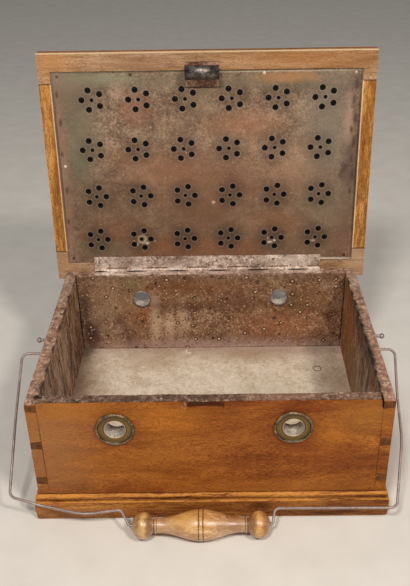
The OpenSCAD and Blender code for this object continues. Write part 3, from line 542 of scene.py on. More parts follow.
# Fine close wood turned and oiled to a gloss: highlights run in bands along it
grip_wood = old_wood(
    "polished_turning", "#85502A", "#BA8650", "#E6C296", "#6E4420", about=(0.0, -130.4, 12.9), seed=7.7,
    specular=0.6, coat=0.8, roughness=0.4, pore_share=0.45, depth=0.06, straight=0.3,
    marks=[
        ((20, -8, 5), (13, 9, 6), 0.8, "#8A6A5E", 0.65), ((23, -11, 4), (2.6, 5, 3), 0.6, "#4A3440", 0.6),
        # Painted shade: the darker patch under the swell at x -20, and the darker rings below at the balls' ends and
        # beside the necks
        ((-34, -10, 0), (12, 12, 12), 0.8, "#A47C58", 0.6), ((-20, -6, -9), (16, 9, 7), 0.7, "#9A6226", 0.6),
        ((GRIP_LEFT + 4, 0, 0), (5, ANYWHERE, ANYWHERE), 0.6, "#84602E", 0.6),
        ((GRIP_LEFT + 14.5, 0, 0), (3.5, ANYWHERE, ANYWHERE), 0.6, "#744E2C", 0.75),
        ((GRIP_LEFT + 25, 0, 0), (6, ANYWHERE, ANYWHERE), 0.7, "#9A6A40", 0.5),
        ((GRIP_LEFT + GRIP_L - 4, 0, 0), (4, ANYWHERE, ANYWHERE), 0.6, "#8A5A30", 0.6),
        ((GRIP_LEFT + GRIP_L - 14.5, 0, 0), (3.5, ANYWHERE, ANYWHERE), 0.6, "#7E522E", 0.75),
        ((GRIP_LEFT + GRIP_L - 26, 0, 0), (7, ANYWHERE, ANYWHERE), 0.7, "#94623A", 0.55),
        # Painted highlights: a pale yellow patch on the top of the swell, and pale rings across both balls
        ((GRIP_LEFT + GRIP_L / 2 - 8, 0, 8), (14, 14, 5), 0.7, "#D8A448", 0.6),
        ((GRIP_LEFT + GRIP_L - 10, 0, 0), (3, ANYWHERE, ANYWHERE), 0.7, "#DC9E3E", 0.5),
        ((GRIP_LEFT + 10, 0, 0), (2.6, ANYWHERE, ANYWHERE), 0.7, "#E0B468", 0.5),
    ],
    lines_on=[
        # Painted shade: dark lines in the grooves by the necks and in the two grooves at the middle
        ((GRIP_LEFT + 18.4, 0, 0), (0.5, ANYWHERE, ANYWHERE), 0.5, "#3E2410", 0.85),
        ((GRIP_LEFT + GRIP_L - 18.4, 0, 0), (0.5, ANYWHERE, ANYWHERE), 0.5, "#3E2410", 0.85),
        ((GRIP_LEFT + 20.7, 0, 0), (0.35, ANYWHERE, ANYWHERE), 0.5, "#5A3A20", 0.7),
        ((GRIP_LEFT + GRIP_L - 20.7, 0, 0), (0.35, ANYWHERE, ANYWHERE), 0.5, "#5A3A20", 0.7),
        ((GRIP_LEFT + GRIP_L / 2 - 1.9, 0, 0), (0.4, ANYWHERE, ANYWHERE), 0.4, "#2E1A0C", 0.9),
        ((GRIP_LEFT + GRIP_L / 2 + 1.9, 0, 0), (0.4, ANYWHERE, ANYWHERE), 0.4, "#2E1A0C", 0.9),
    ],
)


# Sheets

# Rows of flowers in the lid's plate, free end first: the row's middle, and the line between it and the row before
FLOWER_ROWS = [(0.7, -170.5, -999.0), (-2.0, -123.7, -147.1), (-1.7, -77.6, -100.6), (-3.4, -32.8, -55.2)]
FLOWER_PITCH = 43.1
FLOWER_R = 9.3


def hole_places(tree, place):
    """How far a place on the plate is from the nearest flower's middle and from its nearest hole, and its Y."""
    across = add(tree, PARTS, {0: place})
    along = add(tree, PARTS, {0: place}, out=1)
    row_x, row_y, turn = 0.0, 0.0, math.pi
    before = (0.0, 0.0)
    for x, y, edge in FLOWER_ROWS:
        past = add(tree, MATHS, {0: along, 1: edge}, operation="GREATER_THAN")
        row_x = add(tree, MATHS, {0: past, 1: x - before[0], 2: row_x}, operation="MULTIPLY_ADD")
        row_y = add(tree, MATHS, {0: past, 1: y - before[1], 2: row_y}, operation="MULTIPLY_ADD")
        before = (x, y)
        if y == -77.6:
            turn = add(tree, MATHS, {0: past, 1: -math.pi, 2: math.pi}, operation="MULTIPLY_ADD")
    shift = add(tree, MATHS, {0: row_x, 1: FLOWER_PITCH / 2}, operation="ADD")
    x = add(tree, MATHS, {0: across, 1: shift}, operation="SUBTRACT")
    x = add(tree, MATHS, {0: x, 1: FLOWER_PITCH / 2, 2: -FLOWER_PITCH / 2}, operation="WRAP")
    y = add(tree, MATHS, {0: along, 1: row_y}, operation="SUBTRACT")
    angle = add(tree, MATHS, {0: add(tree, MATHS, {0: y, 1: x}, operation="ARCTAN2"), 1: turn}, operation="ADD")
    angle = add(tree, MATHS, {0: angle, 1: math.radians(36), 2: -math.radians(36)}, operation="WRAP")
    square = add(tree, MATHS, {0: y, 1: y, 2: add(tree, MATHS, {0: x, 1: x}, operation="MULTIPLY")}, operation="MULTIPLY_ADD")
    around = add(tree, MATHS, {0: square}, operation="SQRT")
    # The cosine rule, for the hole in the middle of this fifth of the flower
    turned = add(tree, MATHS, {0: add(tree, MATHS, {0: angle}, operation="COSINE"), 1: around}, operation="MULTIPLY")
    least = add(tree, MATHS, {0: turned, 1: -2.0 * FLOWER_R, 2: square}, operation="MULTIPLY_ADD")
    least = add(tree, MATHS, {0: add(tree, MATHS, {0: least, 1: FLOWER_R**2}, operation="ADD")}, operation="SQRT")
    petal = add(tree, MATHS, {0: least, 1: 2.9}, operation="SUBTRACT")
    eye = add(tree, MATHS, {0: around, 1: 1.9}, operation="SUBTRACT")
    # Beyond the outermost flowers everything counts as far away
    beside = add(tree, MATHS, {0: add(tree, MATHS, {0: across}, operation="ABSOLUTE"), 1: 127.0}, operation="GREATER_THAN")
    around = add(tree, MATHS, {0: beside, 1: 99.0, 2: around}, operation="MULTIPLY_ADD")
    nearest = add(tree, MATHS, {0: petal, 1: eye}, operation="MINIMUM")
    return around, add(tree, MATHS, {0: beside, 1: 99.0, 2: nearest}, operation="MULTIPLY_ADD"), along


def browned_sheet(
    name, dark, mid, light, turned=(0.0, 0.0, 0.0), about=(0.0, 0.0, 0.0), marks=(), close_marks=(), flecks=(), runs=None,
    rim=None, halos=None, roughness=0.66, metallic=0.05, specular=0.3, pits=0.35, seed=0.0,
):
    """Tinned iron browned by heat: blotches, speckle and pits, with runs, flecks and a folded rim where asked."""
    material, tree, shader = start_material(name, metallic=metallic, specular=specular)
    place = own_place(tree, turned, about)
    moved = add(tree, VECTORS, {0: place, 1: (seed * 50.0, 0.0, seed * 30.0)})
    # Blotches about 30 mm across, mottling 5 mm, and grit 1.4 mm
    blotch = add(tree, NOISE, {"Vector": moved, "Scale": 0.035, "Detail": 6.0, "Roughness": 0.7, "Distortion": 0.8})
    mottle = add(tree, NOISE, {"Vector": moved, "Scale": 0.2, "Detail": 5.0, "Roughness": 0.75})
    grit = add(tree, NOISE, {"Vector": moved, "Scale": 0.5, "Detail": 4.0, "Roughness": 0.75})
    tone = sum_fields(tree, ((blotch, 0.36), (mottle, 0.28), (grit, 0.36)))
    colour = add(tree, RAMP, {"Fac": tone}, stops=[(0.42, dark), (0.5, mid), (0.58, light)])
    if runs:
        long = add(tree, MAPPING, {"Vector": moved, "Scale": (0.24, 0.24, 0.06)})
        field = add(tree, NOISE, {"Vector": long, "Scale": 1.0, "Detail": 4.0, "Roughness": 0.75})
        for low, high, tint in ((0.53, 0.61, runs[0]), (0.48, 0.4, runs[1])):
            share = add(tree, RANGE, {"Value": field, "From Min": low, "From Max": high, "To Max": 0.85})
            colour = add(tree, MIX, {0: share, 6: colour, 7: linear(tint)}, out=2, data_type="RGBA")
    colour = lay_marks(tree, place, colour, marks, 7.0)
    if halos:
        # Dull round each flower of holes, more so towards the hinge, with a thin pale burr round each hole
        around, from_hole, along = hole_places(tree, place)
        close = add(tree, RANGE, {"Value": around, "From Min": 19.0, "From Max": 8.0})
        lower = add(tree, RANGE, {"Value": along, "From Min": -175.0, "From Max": -40.0, "To Min": 0.25, "To Max": 0.7})
        share = add(tree, MATHS, {0: close, 1: lower}, operation="MULTIPLY")
        colour = add(tree, MIX, {0: share, 6: colour, 7: linear(halos[0])}, out=2, data_type="RGBA")
        burr = add(tree, RANGE, {"Value": from_hole, "From Min": 1.0, "From Max": 0.4, "To Max": 0.35})
        colour = add(tree, MIX, {0: burr, 6: colour, 7: linear(halos[1])}, out=2, data_type="RGBA")
    colour = lay_flecks(tree, moved, colour, flecks)
    if rim:
        height = add(tree, PARTS, {0: place}, out=2)
        on_top = add(tree, RANGE, {"Value": height, "From Min": WALL_TOP - 0.9, "From Max": WALL_TOP - 0.1})
        crust = add(tree, RAMP, {"Fac": sum_fields(tree, ((mottle, 0.6), (grit, 0.4)))}, stops=[
            (0.4, rim[0]), (0.46, rim[1]), (0.54, rim[2]), (0.6, rim[3]),
        ])
        colour = add(tree, MIX, {0: on_top, 6: colour, 7: crust}, out=2, data_type="RGBA")
    colour = lay_marks(tree, place, colour, close_marks, 1.2)
    relief = sum_fields(tree, ((grit, 0.6), (mottle, 0.9)))
    finish_material(tree, shader, colour, (mottle, roughness - 0.12, roughness + 0.15), relief, pits)
    return material


# Rust blisters 1 to 2 mm across: a bright fleck inside a dark ring
BLISTERS = [
    (9.0, 2.3, 0.45, "#2E1A10", 0.85), (9.0, 1.15, 0.45, "#DCBE98", 0.85), (4.3, 0.95, 0.4, "#46281A", 0.8),
    (5.7, 0.85, 0.4, "#D0B08C", 0.8), (3.1, 0.7, 0.5, "#C4A284", 0.75), (2.6, 0.6, 0.45, "#38220F", 0.65),
]
# Middles and half lengths of the lid's knuckles: the box's leaf is cut away under them
LID_KNUCKLES = ((-111, 6.2), (-74.5, 10.2), (-33.8, 10.2), (6.9, 10.2), (47.6, 10.2), (88.3, 10.2))
RUSTY_RIM = ("#46322A", "#7A5A4A", "#9E7E6A", "#CEAE98")
# Painted shade: dark lines in the corners where the sheets meet, and a softer one along the foot of the back sheet
CORNER_SHADE = [
    ((x, y, 76), (1.1, 1.1, 50), 0.4, "#160D09", 0.95) for x in (-135.4, 135.4) for y in (-96.3, 97.4)
] + [((0, 97.5, 33), (ANYWHERE, 1.5, 1.0), 0.5, "#5A4434", 0.5)]

back_sheet = browned_sheet(
    "heat_browned_back", "#4C301C", "#84624A", "#BA9A7A", rim=RUSTY_RIM, flecks=BLISTERS, seed=0.4,
    close_marks=CORNER_SHADE + [
        # Painted shade: near black in the gaps under the lid's knuckles
        ((x, 105.4, 121), (half, 1.6, 1.8), 0.15, "#100A07", 1.0)
        for x, half in LID_KNUCKLES
    ],
    marks=[
        ((0, 0, 42), (200, ANYWHERE, 12), 0.5, "#6A4A3A", 0.5), ((10, 0, 33), (124, ANYWHERE, 8), 0.7, "#B0948A", 0.7),
        ((-40, 0, 100), (70, ANYWHERE, 16), 0.7, "#7A4E2A", 0.45),
        ((0, 0, 118), (200, ANYWHERE, 5), 0.5, "#6E5442", 0.5),
        ((-58, 0, 70), (5, ANYWHERE, 26), 0.6, "#CCB094", 0.6),
        ((-44, 0, 62), (4, ANYWHERE, 18), 0.6, "#C4A488", 0.6),
        ((-30, 0, 70), (5, ANYWHERE, 22), 0.6, "#BC9C80", 0.55),
        ((-20, 0, 84), (46, ANYWHERE, 5), 0.5, "#55301A", 0.6),
        ((70, 0, 84), (40, ANYWHERE, 12), 0.7, "#6A4426", 0.45),
        ((-100, 0, 90), (26, ANYWHERE, 26), 0.7, "#94765A", 0.5),
        ((-74, 0, 74), (16, ANYWHERE, 12), 0.7, "#8E5630", 0.6), ((-10, 0, 108), (60, ANYWHERE, 7), 0.7, "#7A4A2A", 0.5),
        ((20, 0, 92), (30, ANYWHERE, 9), 0.7, "#6A4030", 0.5), ((-122, 0, 60), (12, ANYWHERE, 40), 0.6, "#6A4A3C", 0.5),
        # Painted shadow: the two near black marks by the left corner, at x -124 and -129
        ((108, 0, 96), (22, ANYWHERE, 18), 0.7, "#86603E", 0.5), ((-124, 0, 54), (6, ANYWHERE, 14), 0.7, "#261A1A", 0.8),
        ((-129, 0, 86), (4, ANYWHERE, 22), 0.7, "#3A281E", 0.7), ((-96, 0, 66), (14, ANYWHERE, 10), 0.8, "#4E3A34", 0.5),
        ((-80, 0, 112), (10, ANYWHERE, 9), 0.6, "#84744E", 0.5), ((76, 0, 60), (40, ANYWHERE, 14), 0.8, "#A0623C", 0.55),
    ],
)
front_sheet = browned_sheet(
    "heat_browned_front", "#5E4028", "#7E5C42", "#A07C5E", rim=("#34241E", "#5E4536", "#806453", "#B89C88"),
    flecks=BLISTERS, seed=1.7, close_marks=CORNER_SHADE + [
        ((-50, -100, 121), (60, 6, 2), 0.6, "#4A3430", 0.5), ((60, -100, 121), (26, 6, 2), 0.6, "#946E5A", 0.5),
        # Painted shade: near black in the torn gap at the left front corner, at x -135
        ((118, -101, 121), (18, 6, 2), 0.6, "#8C6C5A", 0.3), ((-135.0, -97.2, 121), (2.4, 2.8, 2), 0.3, "#140E0A", 0.95),
    ],
)
# Where drips ran down the side sheets, pale and dark: side, Y, Z, half width, half height and colour
STREAKS = [
    ((136 * side, y, z), (6, width, height), 0.8, tint, 0.7) for side, y, z, width, height, tint in (
        (-1, -66, 84, 5, 26, "#C8B4A8"), (-1, -56, 62, 4, 18, "#BCA698"), (-1, -28, 66, 4, 22, "#C0AA9A"),
        (-1, -47, 74, 5, 26, "#281A12"), (-1, -84, 96, 6, 16, "#241610"), (-1, 8, 84, 5, 26, "#BCA28E"),
        (-1, 34, 70, 6, 30, "#38241A"), (-1, -10, 60, 4, 18, "#2E1C14"), (-1, 60, 90, 5, 18, "#A88468"),
        (1, -52, 70, 3.0, 22, "#E8DED0"), (1, -44, 60, 2.6, 15, "#DCD0BE"), (1, -61, 58, 3.0, 14, "#D0C4B4"),
        (1, -34, 74, 2.6, 20, "#C8B6A0"), (1, -72, 84, 3, 22, "#9A6A4A"), (1, -24, 92, 3, 18, "#3A2A1C"),
        (1, -4, 66, 2, 22, "#A89070"), (1, -48, 98, 4, 14, "#4A3828"),
    )
]
side_sheet = browned_sheet(
    "heat_browned_sides", "#4E3020", "#926A4C", "#C6A68A", rim=RUSTY_RIM, flecks=BLISTERS[2:],
    runs=("#CFB4A4", "#3C2216"), seed=2.6,
    marks=[
        ((136, 62, 84), (5, 44, 60), 0.6, "#9C6430", 0.8), ((136, 20, 60), (5, 26, 26), 0.7, "#7E6440", 0.6),
 ((-136, 66, 60), (5, 30, 40), 0.6, "#5A3E2C", 0.5),
        ((-136, -50, 60), (5, 50, 24), 0.7, "#8A7468", 0.5), ((136, -40, 60), (5, 40, 20), 0.7, "#9A8470", 0.45),
        ((136, -10, 112), (5, 80, 9), 0.5, "#2E1E14", 0.6), ((136, -62, 100), (5, 14, 20), 0.6, "#A0603A", 0.5),
    ],
    close_marks=STREAKS + CORNER_SHADE + [
        ((143, 84, 121), (8, 22, 3), 0.6, "#A89A8A", 0.25), ((143, -56, 121), (8, 60, 3), 0.7, "#C89A82", 0.2),
        ((-143, 78, 121), (8, 26, 3), 0.6, "#A69888", 0.25), ((-143, -50, 121), (8, 50, 3), 0.7, "#C09478", 0.2),
        # Painted shade: near black in the torn gap at the left front corner
        ((-137.2, -97.4, 121), (2.2, 2.8, 2), 0.3, "#140E0A", 0.95),
    # Painted shade: the two lists below lay near black gaps along the folded top edges of the side sheets
    ] + [
        ((135.6, y, 120.6), (size, 4.4 * size, 2.6), 0.6, "#140E0B", 0.95)
        for y, size in (
            (-86, 1.5), (-70, 1.2), (-54, 2.3), (-38, 2.9), (-20, 2.1), (0, 2.3), (22, 1.9), (40, 1.6), (58, 1.3), (80, 1.0)
        )
    ] + [
        ((-135.6, y, 120.6), (size, 5.0 * size, 2.4), 0.6, "#241812", 0.85)
        for y, size in ((-84, 1.6), (-60, 1.4), (-30, 1.2), (4, 1.4), (30, 1.0), (56, 1.2))
    ],
)
# The floor stayed palest. Brown along the left wall, the right wall and the back is partly scorch and partly painted
# shade of the walls, and the back left corner is painted dark as shadow
floor_sheet = browned_sheet(
    "scorched_and_shaded_floor", "#B8A58C", "#D2C3AE", "#E2D6C4", pits=0.2,
    flecks=[(14.0, 0.9, 0.3, "#8A6A4A", 0.6), (23.0, 1.2, 0.4, "#E8D8BC", 0.7)],
    marks=[
        ((-138, 0, 0), (28, 95, ANYWHERE), 0.5, "#6C482E", 0.72),
        ((0, 101, 0), (170, 15, ANYWHERE), 0.7, "#8E6E5C", 0.7), ((50, 20, 0), (30, 14, ANYWHERE), 0.8, "#B4B098", 0.4), ((60, 92, 0), (50, 8, ANYWHERE), 0.7, "#A08274", 0.5), ((130, 0, 0), (22, 90, ANYWHERE), 0.6, "#8A6646", 0.5),
        ((-60, 74, 0), (26, 12, ANYWHERE), 0.7, "#9A7C5C", 0.5),
        ((40, 80, 0), (40, 9, ANYWHERE), 0.7, "#94744F", 0.5),
        ((-133, 92, 0), (8, 12, ANYWHERE), 0.6, "#3A281C", 0.6),
    ],
    close_marks=[
        # Round the floor nail: a rust ring, a pale head, and a painted highlight on the head at 107.3, 56.8
        ((106.6, 57.7, 33), (4.4, 4.6, 2), 0.2, "#4A3420", 0.95), ((106.6, 57.7, 33), (3.3, 3.4, 2), 0.2, "#E0CCA4", 1.0),
        ((107.3, 56.8, 33), (1.9, 1.8, 2), 0.4, "#F0E4C8", 0.8), ((-70, 64, 33), (2.6, 1.2, 2), 0.4, "#EADAB8", 0.9),
        ((-24, 88, 33), (3.4, 0.8, 2), 0.4, "#EADAB8", 0.8), ((-27, 92, 33), (0.9, 2.0, 2), 0.4, "#EADAB8", 0.8),
    ],
)
# The lid's plate: dull tin, grey green at the sides, pinkish in the middle, dark brown near the hinge
lid_sheet = browned_sheet(
    "dull_tin_lid", "#4A3B2E", "#78604C", "#A48A74", **LID_X, halos=("#453628", "#94867E"), seed=3.3, pits=0.25,
    flecks=[
        (11.0, 0.8, 0.3, "#C09A74", 0.6), (8.0, 0.6, 0.3, "#46342A", 0.7), (6.1, 0.8, 0.35, "#96583A", 0.5),
        (3.7, 0.45, 0.4, "#B49A80", 0.5),
    ],
    marks=[
        ((-122, -150, 0), (18, 60, ANYWHERE), 0.6, "#746A56", 0.75),
        ((112, -140, 0), (22, 60, ANYWHERE), 0.6, "#7C7264", 0.75),
        ((0, -186, 0), (140, 8, ANYWHERE), 0.6, "#786A56", 0.6),
        ((10, -112, 0), (70, 46, ANYWHERE), 0.8, "#94745C", 0.4),
        ((0, -20, 0), (160, 34, ANYWHERE), 0.7, "#6C4E38", 0.75),
        ((0, -62, 0), (160, 26, ANYWHERE), 0.9, "#7A5C44", 0.5),
        ((74, -189, 0), (26, 4.5, ANYWHERE), 0.6, "#B47E4E", 0.6),
        ((-140, -100, 0), (6, 95, ANYWHERE), 0.5, "#8E6C58", 0.7),
        ((137, -120, 0), (9, 62, ANYWHERE), 0.5, "#5C453A", 0.65),
        ((131, -150, 0), (4, 20, ANYWHERE), 0.6, "#B0907C", 0.6),
        ((128, -100, 0), (2, 8, ANYWHERE), 0.5, "#4A3C34", 0.8),
        ((133, -40, 0), (10, 30, ANYWHERE), 0.6, "#6C5040", 0.6),
        ((-128, -184, 0), (16, 8, ANYWHERE), 0.7, "#A08C7C", 0.6), ((-100, -190, 0), (30, 5, ANYWHERE), 0.7, "#8A8A70", 0.6),
        ((-66, -162, 0), (13, 12, ANYWHERE), 0.7, "#9A5E48", 0.5), ((34, -146, 0), (26, 10, ANYWHERE), 0.8, "#A06A4C", 0.5),
        ((-8, -168, 0), (12, 10, ANYWHERE), 0.7, "#8E7A60", 0.5),
        ((-36, -104, 0), (30, 12, ANYWHERE), 0.8, "#94644C", 0.5), ((26, -88, 0), (12, 12, ANYWHERE), 0.7, "#50443C", 0.5),
        ((-76, -116, 0), (24, 10, ANYWHERE), 0.8, "#8E6444", 0.4), ((-124, -112, 0), (10, 20, ANYWHERE), 0.7, "#6E6A54", 0.5),
        ((-6, -60, 0), (24, 20, ANYWHERE), 0.7, "#6C4630", 0.5), ((84, -106, 0), (14, 20, ANYWHERE), 0.8, "#A88668", 0.4),
        ((-60, -94, 0), (26, 3, ANYWHERE), 0.7, "#A07A5E", 0.4), ((110, -66, 0), (22, 20, ANYWHERE), 0.8, "#7E705A", 0.5),
        ((-40, -24, 0), (30, 9, ANYWHERE), 0.8, "#8C4E2A", 0.5), ((20, -22, 0), (26, 8, ANYWHERE), 0.8, "#94583A", 0.5),
        ((-92, -38, 0), (22, 12, ANYWHERE), 0.8, "#80482C", 0.45), ((66, -48, 0), (22, 9, ANYWHERE), 0.8, "#8A5638", 0.45),
        ((104, -24, 0), (22, 10, ANYWHERE), 0.8, "#8A6C52", 0.5), ((10, -92, 0), (70, 20, ANYWHERE), 0.8, "#7E523A", 0.5), ((-128, -180, 0), (22, 14, ANYWHERE), 0.7, "#6A5846", 0.6),
        ((-112, -70, 0), (24, 24, ANYWHERE), 0.8, "#6A5240", 0.4), ((-104, -24, 0), (20, 8, ANYWHERE), 0.7, "#6E6450", 0.6),
    ],
    close_marks=[
        # Painted shade: the dark lines along the plate's left, right and far edges in its rebate, and the dark line
        # under the catch plate's edge at y -181
        ((116, -9.6, 1.5), (26, 1.3, 1), 0.4, "#D2C0AA", 0.85), ((-141.6, -108, 1.5), (0.8, 80, 1), 0.5, "#3C2C22", 0.7),
        ((140.6, -100, 1.5), (0.9, 90, 1), 0.5, "#33241C", 0.8), ((0, -195.4, 1.5), (130, 0.8, 1), 0.5, "#4E4234", 0.7),
        ((60, -194.4, 1.5), (80, 0.6, 1), 0.5, "#C8B8A0", 0.5), ((-4.6, -181, 1.5), (17, 0.9, 1), 0.3, "#241610", 0.9),
        ((-67.4, -32.6, 1.5), (4.4, 4.4, 1), 0.3, "#DCC4A4", 0.6), ((-67.9, -32.9, 1.5), (3.1, 3.1, 1), 0.2, "#6A503C", 0.9),
        ((-62.4, -28.6, 1.5), (1.8, 1.2, 1), 0.5, "#E8D8C0", 0.7), ((-72.6, -27.4, 1.5), (1.1, 1.1, 1), 0.5, "#D8C4AC", 0.6),
        ((59.2, -28.2, 1.5), (2.8, 1.4, 1), 0.4, "#D8C0A8", 0.7), ((63.9, -30.0, 1.5), (1.5, 1.1, 1), 0.4, "#E0D0BC", 0.65),
        ((57.2, -32.4, 1.5), (1.0, 1.6, 1), 0.4, "#C49A7C", 0.7), ((102.4, -29.2, 1.5), (2.2, 1.1, 1), 0.5, "#C4A890", 0.6),
        ((4, -70.5, 1.5), (1.6, 1.6, 1), 0.4, "#D8B8A0", 0.7),
    ] + [
        ((x, y, 1.5), (size, 2.4 * size, 1), 0.6, "#453329", 0.8) for x, y, size in (
            (137, -182, 2.0), (135, -168, 1.6), (137.5, -150, 1.8), (134, -140, 1.4), (137, -128, 2.0), (135.5, -112, 1.5),
            (137.5, -96, 1.7), (136, -80, 1.3), (-138.5, -176, 1.2), (-137.5, -150, 1.4), (-139, -120, 1.2),
            (-137.5, -84, 1.4), (-139, -52, 1.2), (130.5, -104, 1.2),
        )
    ],
)
# Wrought strap gone pinkish brown and deeply pitted, with rubbed bright spots
hinge_iron = browned_sheet(
    "pitted_hinge_iron", "#6A5042", "#C0A696", "#F8E8DC", roughness=0.5, metallic=0.12, specular=0.5, pits=0.5, seed=4.1,
    close_marks=[
        ((0, 103, 121), (160, 5, 1.6), 0.4, "#8C705E", 0.35),
    ] + [
        # Painted shade: near black in the gaps under the lid's knuckles
        ((x, 105.2, 121.5), (half, 1.5, 1.1), 0.25, "#140D0A", 0.95) for x, half in LID_KNUCKLES
    ],
    flecks=[(5.2, 0.9, 0.3, "#4A342A", 0.7), (6.4, 0.7, 0.35, "#F0DCC8", 0.7)],
    marks=[
        ((-84, 108, 130), (20, 9, 7), 0.8, "#7A5E4C", 0.6), ((-30, 108, 130), (18, 9, 7), 0.8, "#84685A", 0.5),
        # Painted highlight: the pale patch at x 80 on the lid's leaf
        ((80, 108, 130), (22, 9, 7), 0.8, "#F0E0D0", 0.4), ((30, 100, 121), (30, 5, 2), 0.8, "#8A7060", 0.5),
    ],
)
catch_iron = browned_sheet(
    "rusted_catch_plate", "#6A4634", "#A87C64", "#D0A890", roughness=0.55, metallic=0.2, pits=0.4, seed=5.2,
    # Painted shade on the plate's top, where the roll hangs over it
    close_marks=[((-4.6, 120, 328), (20, 12, 5), 0.4, "#33241C", 0.85)],
)
nail_iron = browned_sheet(
    "iron_nail_heads", "#5A4A3E", "#A08E7C", "#DACAB6", roughness=0.42, metallic=0.4, specular=0.5, pits=0.2, seed=6.3,
    close_marks=[((106.6, 57.7, 34), (3.8, 3.8, 4), 0.3, "#F0E2C0", 0.85)],
)


# The lid's tacks have rusted flat and dark, apart from three that still shine
lid_tack_iron = browned_sheet(
    "rusted_tack_heads", "#2A1E18", "#4A382E", "#7C6656", **LID_X, roughness=0.5, metallic=0.2, pits=0.2, seed=7.1,
    close_marks=[
        ((x, y, 1), (4, 4, 4), 0.3, tint, 0.9)
        for x, y, tint in ((-137, -108, "#DCCDB8"), (135.5, -192.3, "#B8A08C"), (52, -193, "#D8C4AC"))
    ],
)


# Small metalwork


def spun_metal(name, dark, mid, light, metallic, roughness, fine=0.06, marks=()):
    """Thin metal that was spun, drawn or rolled: an even tone under faint tarnish."""
    material, tree, shader = start_material(name, metallic=metallic)
    place = own_place(tree)
    # Tarnish clouds 6 mm across, and a bloom 1 mm across
    tarnish = add(tree, NOISE, {"Vector": place, "Scale": 0.17, "Detail": 5.0, "Roughness": 0.75})
    bloom = add(tree, NOISE, {"Vector": place, "Scale": 0.9, "Detail": 3.0, "Roughness": 0.7})
    tone = sum_fields(tree, ((tarnish, 0.6), (bloom, 0.4)))
    colour = add(tree, RAMP, {"Fac": tone}, stops=[(0.4, dark), (0.5, mid), (0.6, light)])
    colour = lay_marks(tree, place, colour, marks)
    finish_material(tree, shader, colour, (tarnish, roughness - 0.06, roughness + 0.12), bloom, fine)
    return material


# Brass left unpolished: olive brown, brighter on the rolled bead
# From the rolled bead inwards: a dark groove of painted shade, the dish, and a dark ring of painted shade at the flare
# that the tube is spun over
ROSETTE_RINGS_AND_SHADE = [
    ((x, y, z), (radius, 9.0, radius), 0.03, tint, 0.9)
    for radius, tint in ((14.2, "#120B06"), (13.5, "#665022"), (11.6, "#785C2C"), (9.6, "#1C140C"))
    for vents, y in ((FRONT_VENTS, -107.25), (REAR_VENTS, 107.25)) for x, z in vents.values()
] + [
    # Painted shadow over the upper part of each front rosette's dish
    ((x - 3, -107.0, z + 9), (12, 1.3, 7), 0.6, "#2E2016", 0.6) for x, z in FRONT_VENTS.values()
]
vent_brass = spun_metal("tarnished_brass", "#3A2A1C", "#6C563E", "#A68A68", 0.4, 0.36, marks=ROSETTE_RINGS_AND_SHADE)
# Tin drawn into a tube: pale grey with a soft sheen
# A painted highlight runs round the tube's lip, and painted shade darkens its far end
TUBE_GLINT_AND_SHADE = [
    ((x, y, z), (11.0, half, 11.0), 0.3, tint, 0.85)
    for vents, lip, end in ((FRONT_VENTS, -108.7, -94.6), (REAR_VENTS, 108.7, 95.9))
    for y, half, tint in ((lip, 0.5, "#B4925C"), (end, 1.6, "#2A2018")) for x, z in vents.values()
]
vent_tin = spun_metal("drawn_tin_tube", "#8A8074", "#BDB4A6", "#E0D9CC", 0.3, 0.42, marks=TUBE_GLINT_AND_SHADE)
# Iron wire with a thin pinkish oxide: dull, with one light line along it
wire_iron = spun_metal("drawn_iron_wire", "#857570", "#968681", "#AC9D97", 0.45, 0.38)
# Spring steel blued and blackened, glossy where it is rolled
spring_steel = spun_metal("blackened_spring", "#3A3330", "#645C58", "#908882", 0.85, 0.4, fine=0.05)
stud_steel = spun_metal("worn_stud", "#5E5452", "#857B78", "#ABA19E", 0.5, 0.34)


# Box

# The top right corner has opened: a wedge is gone between the front board and the pin beside it
CRACK = [
    (x, y, z) for y in (-108.5, -95.0) for x, z in ((134.1, 122.5), (135.95, 122.5), (134.6, 114.6), (135.95, 112.8))
]
# The folded front edge has torn away from the left corner
TEAR = [(x, y, z) for z in (120.2, 122.5) for x, y in ((-137.0, -95.5), (-132.6, -95.5), (-136.4, -100.8), (-137.0, -100.8))]

for node, material, slot in (
    ("front_board", front_wood, "box_wood"), ("back_board", plain_front_wood, "box_wood"),
    ("left_board", side_wood, "box_wood"), ("right_board", side_wood, "box_wood"),
    ("base_front", moulding_x, "box_wood"), ("base_back", moulding_x, "box_wood"),
    ("base_left", moulding_y, "box_wood"), ("base_right", moulding_y, "box_wood"),
):
    cuts = [CRACK] if node == "front_board" else []
    place_piece(worn_copy(node, 0.4, cuts), material, "box", [node])

for node, material in (
    ("lid_front_rail", front_rail_wood), ("lid_back_rail", back_rail_wood),
    ("lid_left_stile", stile_wood), ("lid_right_stile", stile_wood), ("lid_panel", panel_wood),
):
    place_piece(worn_copy(node, 0.3), material, "lid", [node])

for node, material, depth, ragged in (
    ("liner_back", back_sheet, 0.35, 0.3), ("liner_front", front_sheet, 0.3, 0.35),
    ("liner_left", side_sheet, 0.35, 0.35), ("liner_right", side_sheet, 0.35, 0.35),
):
    cuts = [CRACK, TEAR] if node == "liner_front" else []
    place_piece(dented_copy(node, 3.0, depth, ragged, cuts=cuts), material, "box", [node])

place_piece(dented_copy("liner_floor", 5.0, 0.3, 0.05), floor_sheet, "box", ["liner_floor"])
place_piece(dented_copy("lid_plate", 5.0, 0.25, 0.04, eased=0.2), lid_sheet, "lid", ["lid_plate"])
for node, body, sunk in (("hinge_box_leaf", "box", (0.0, 0.0, -1.0)), ("hinge_lid_leaf", "lid", (0.0, 1.0, 0.0))):
    place_piece(dented_copy(node, 4.0, 0.12, 0.12, eased=0.2, sunk=sunk), hinge_iron, body, [node])
place_piece(
    dented_copy("catch_plate", 3.0, 0.15, 0.2, eased=0.15), catch_iron, "lid", ["catch_plate"]
)


# Vents, as outlines of (radius, height above the board)

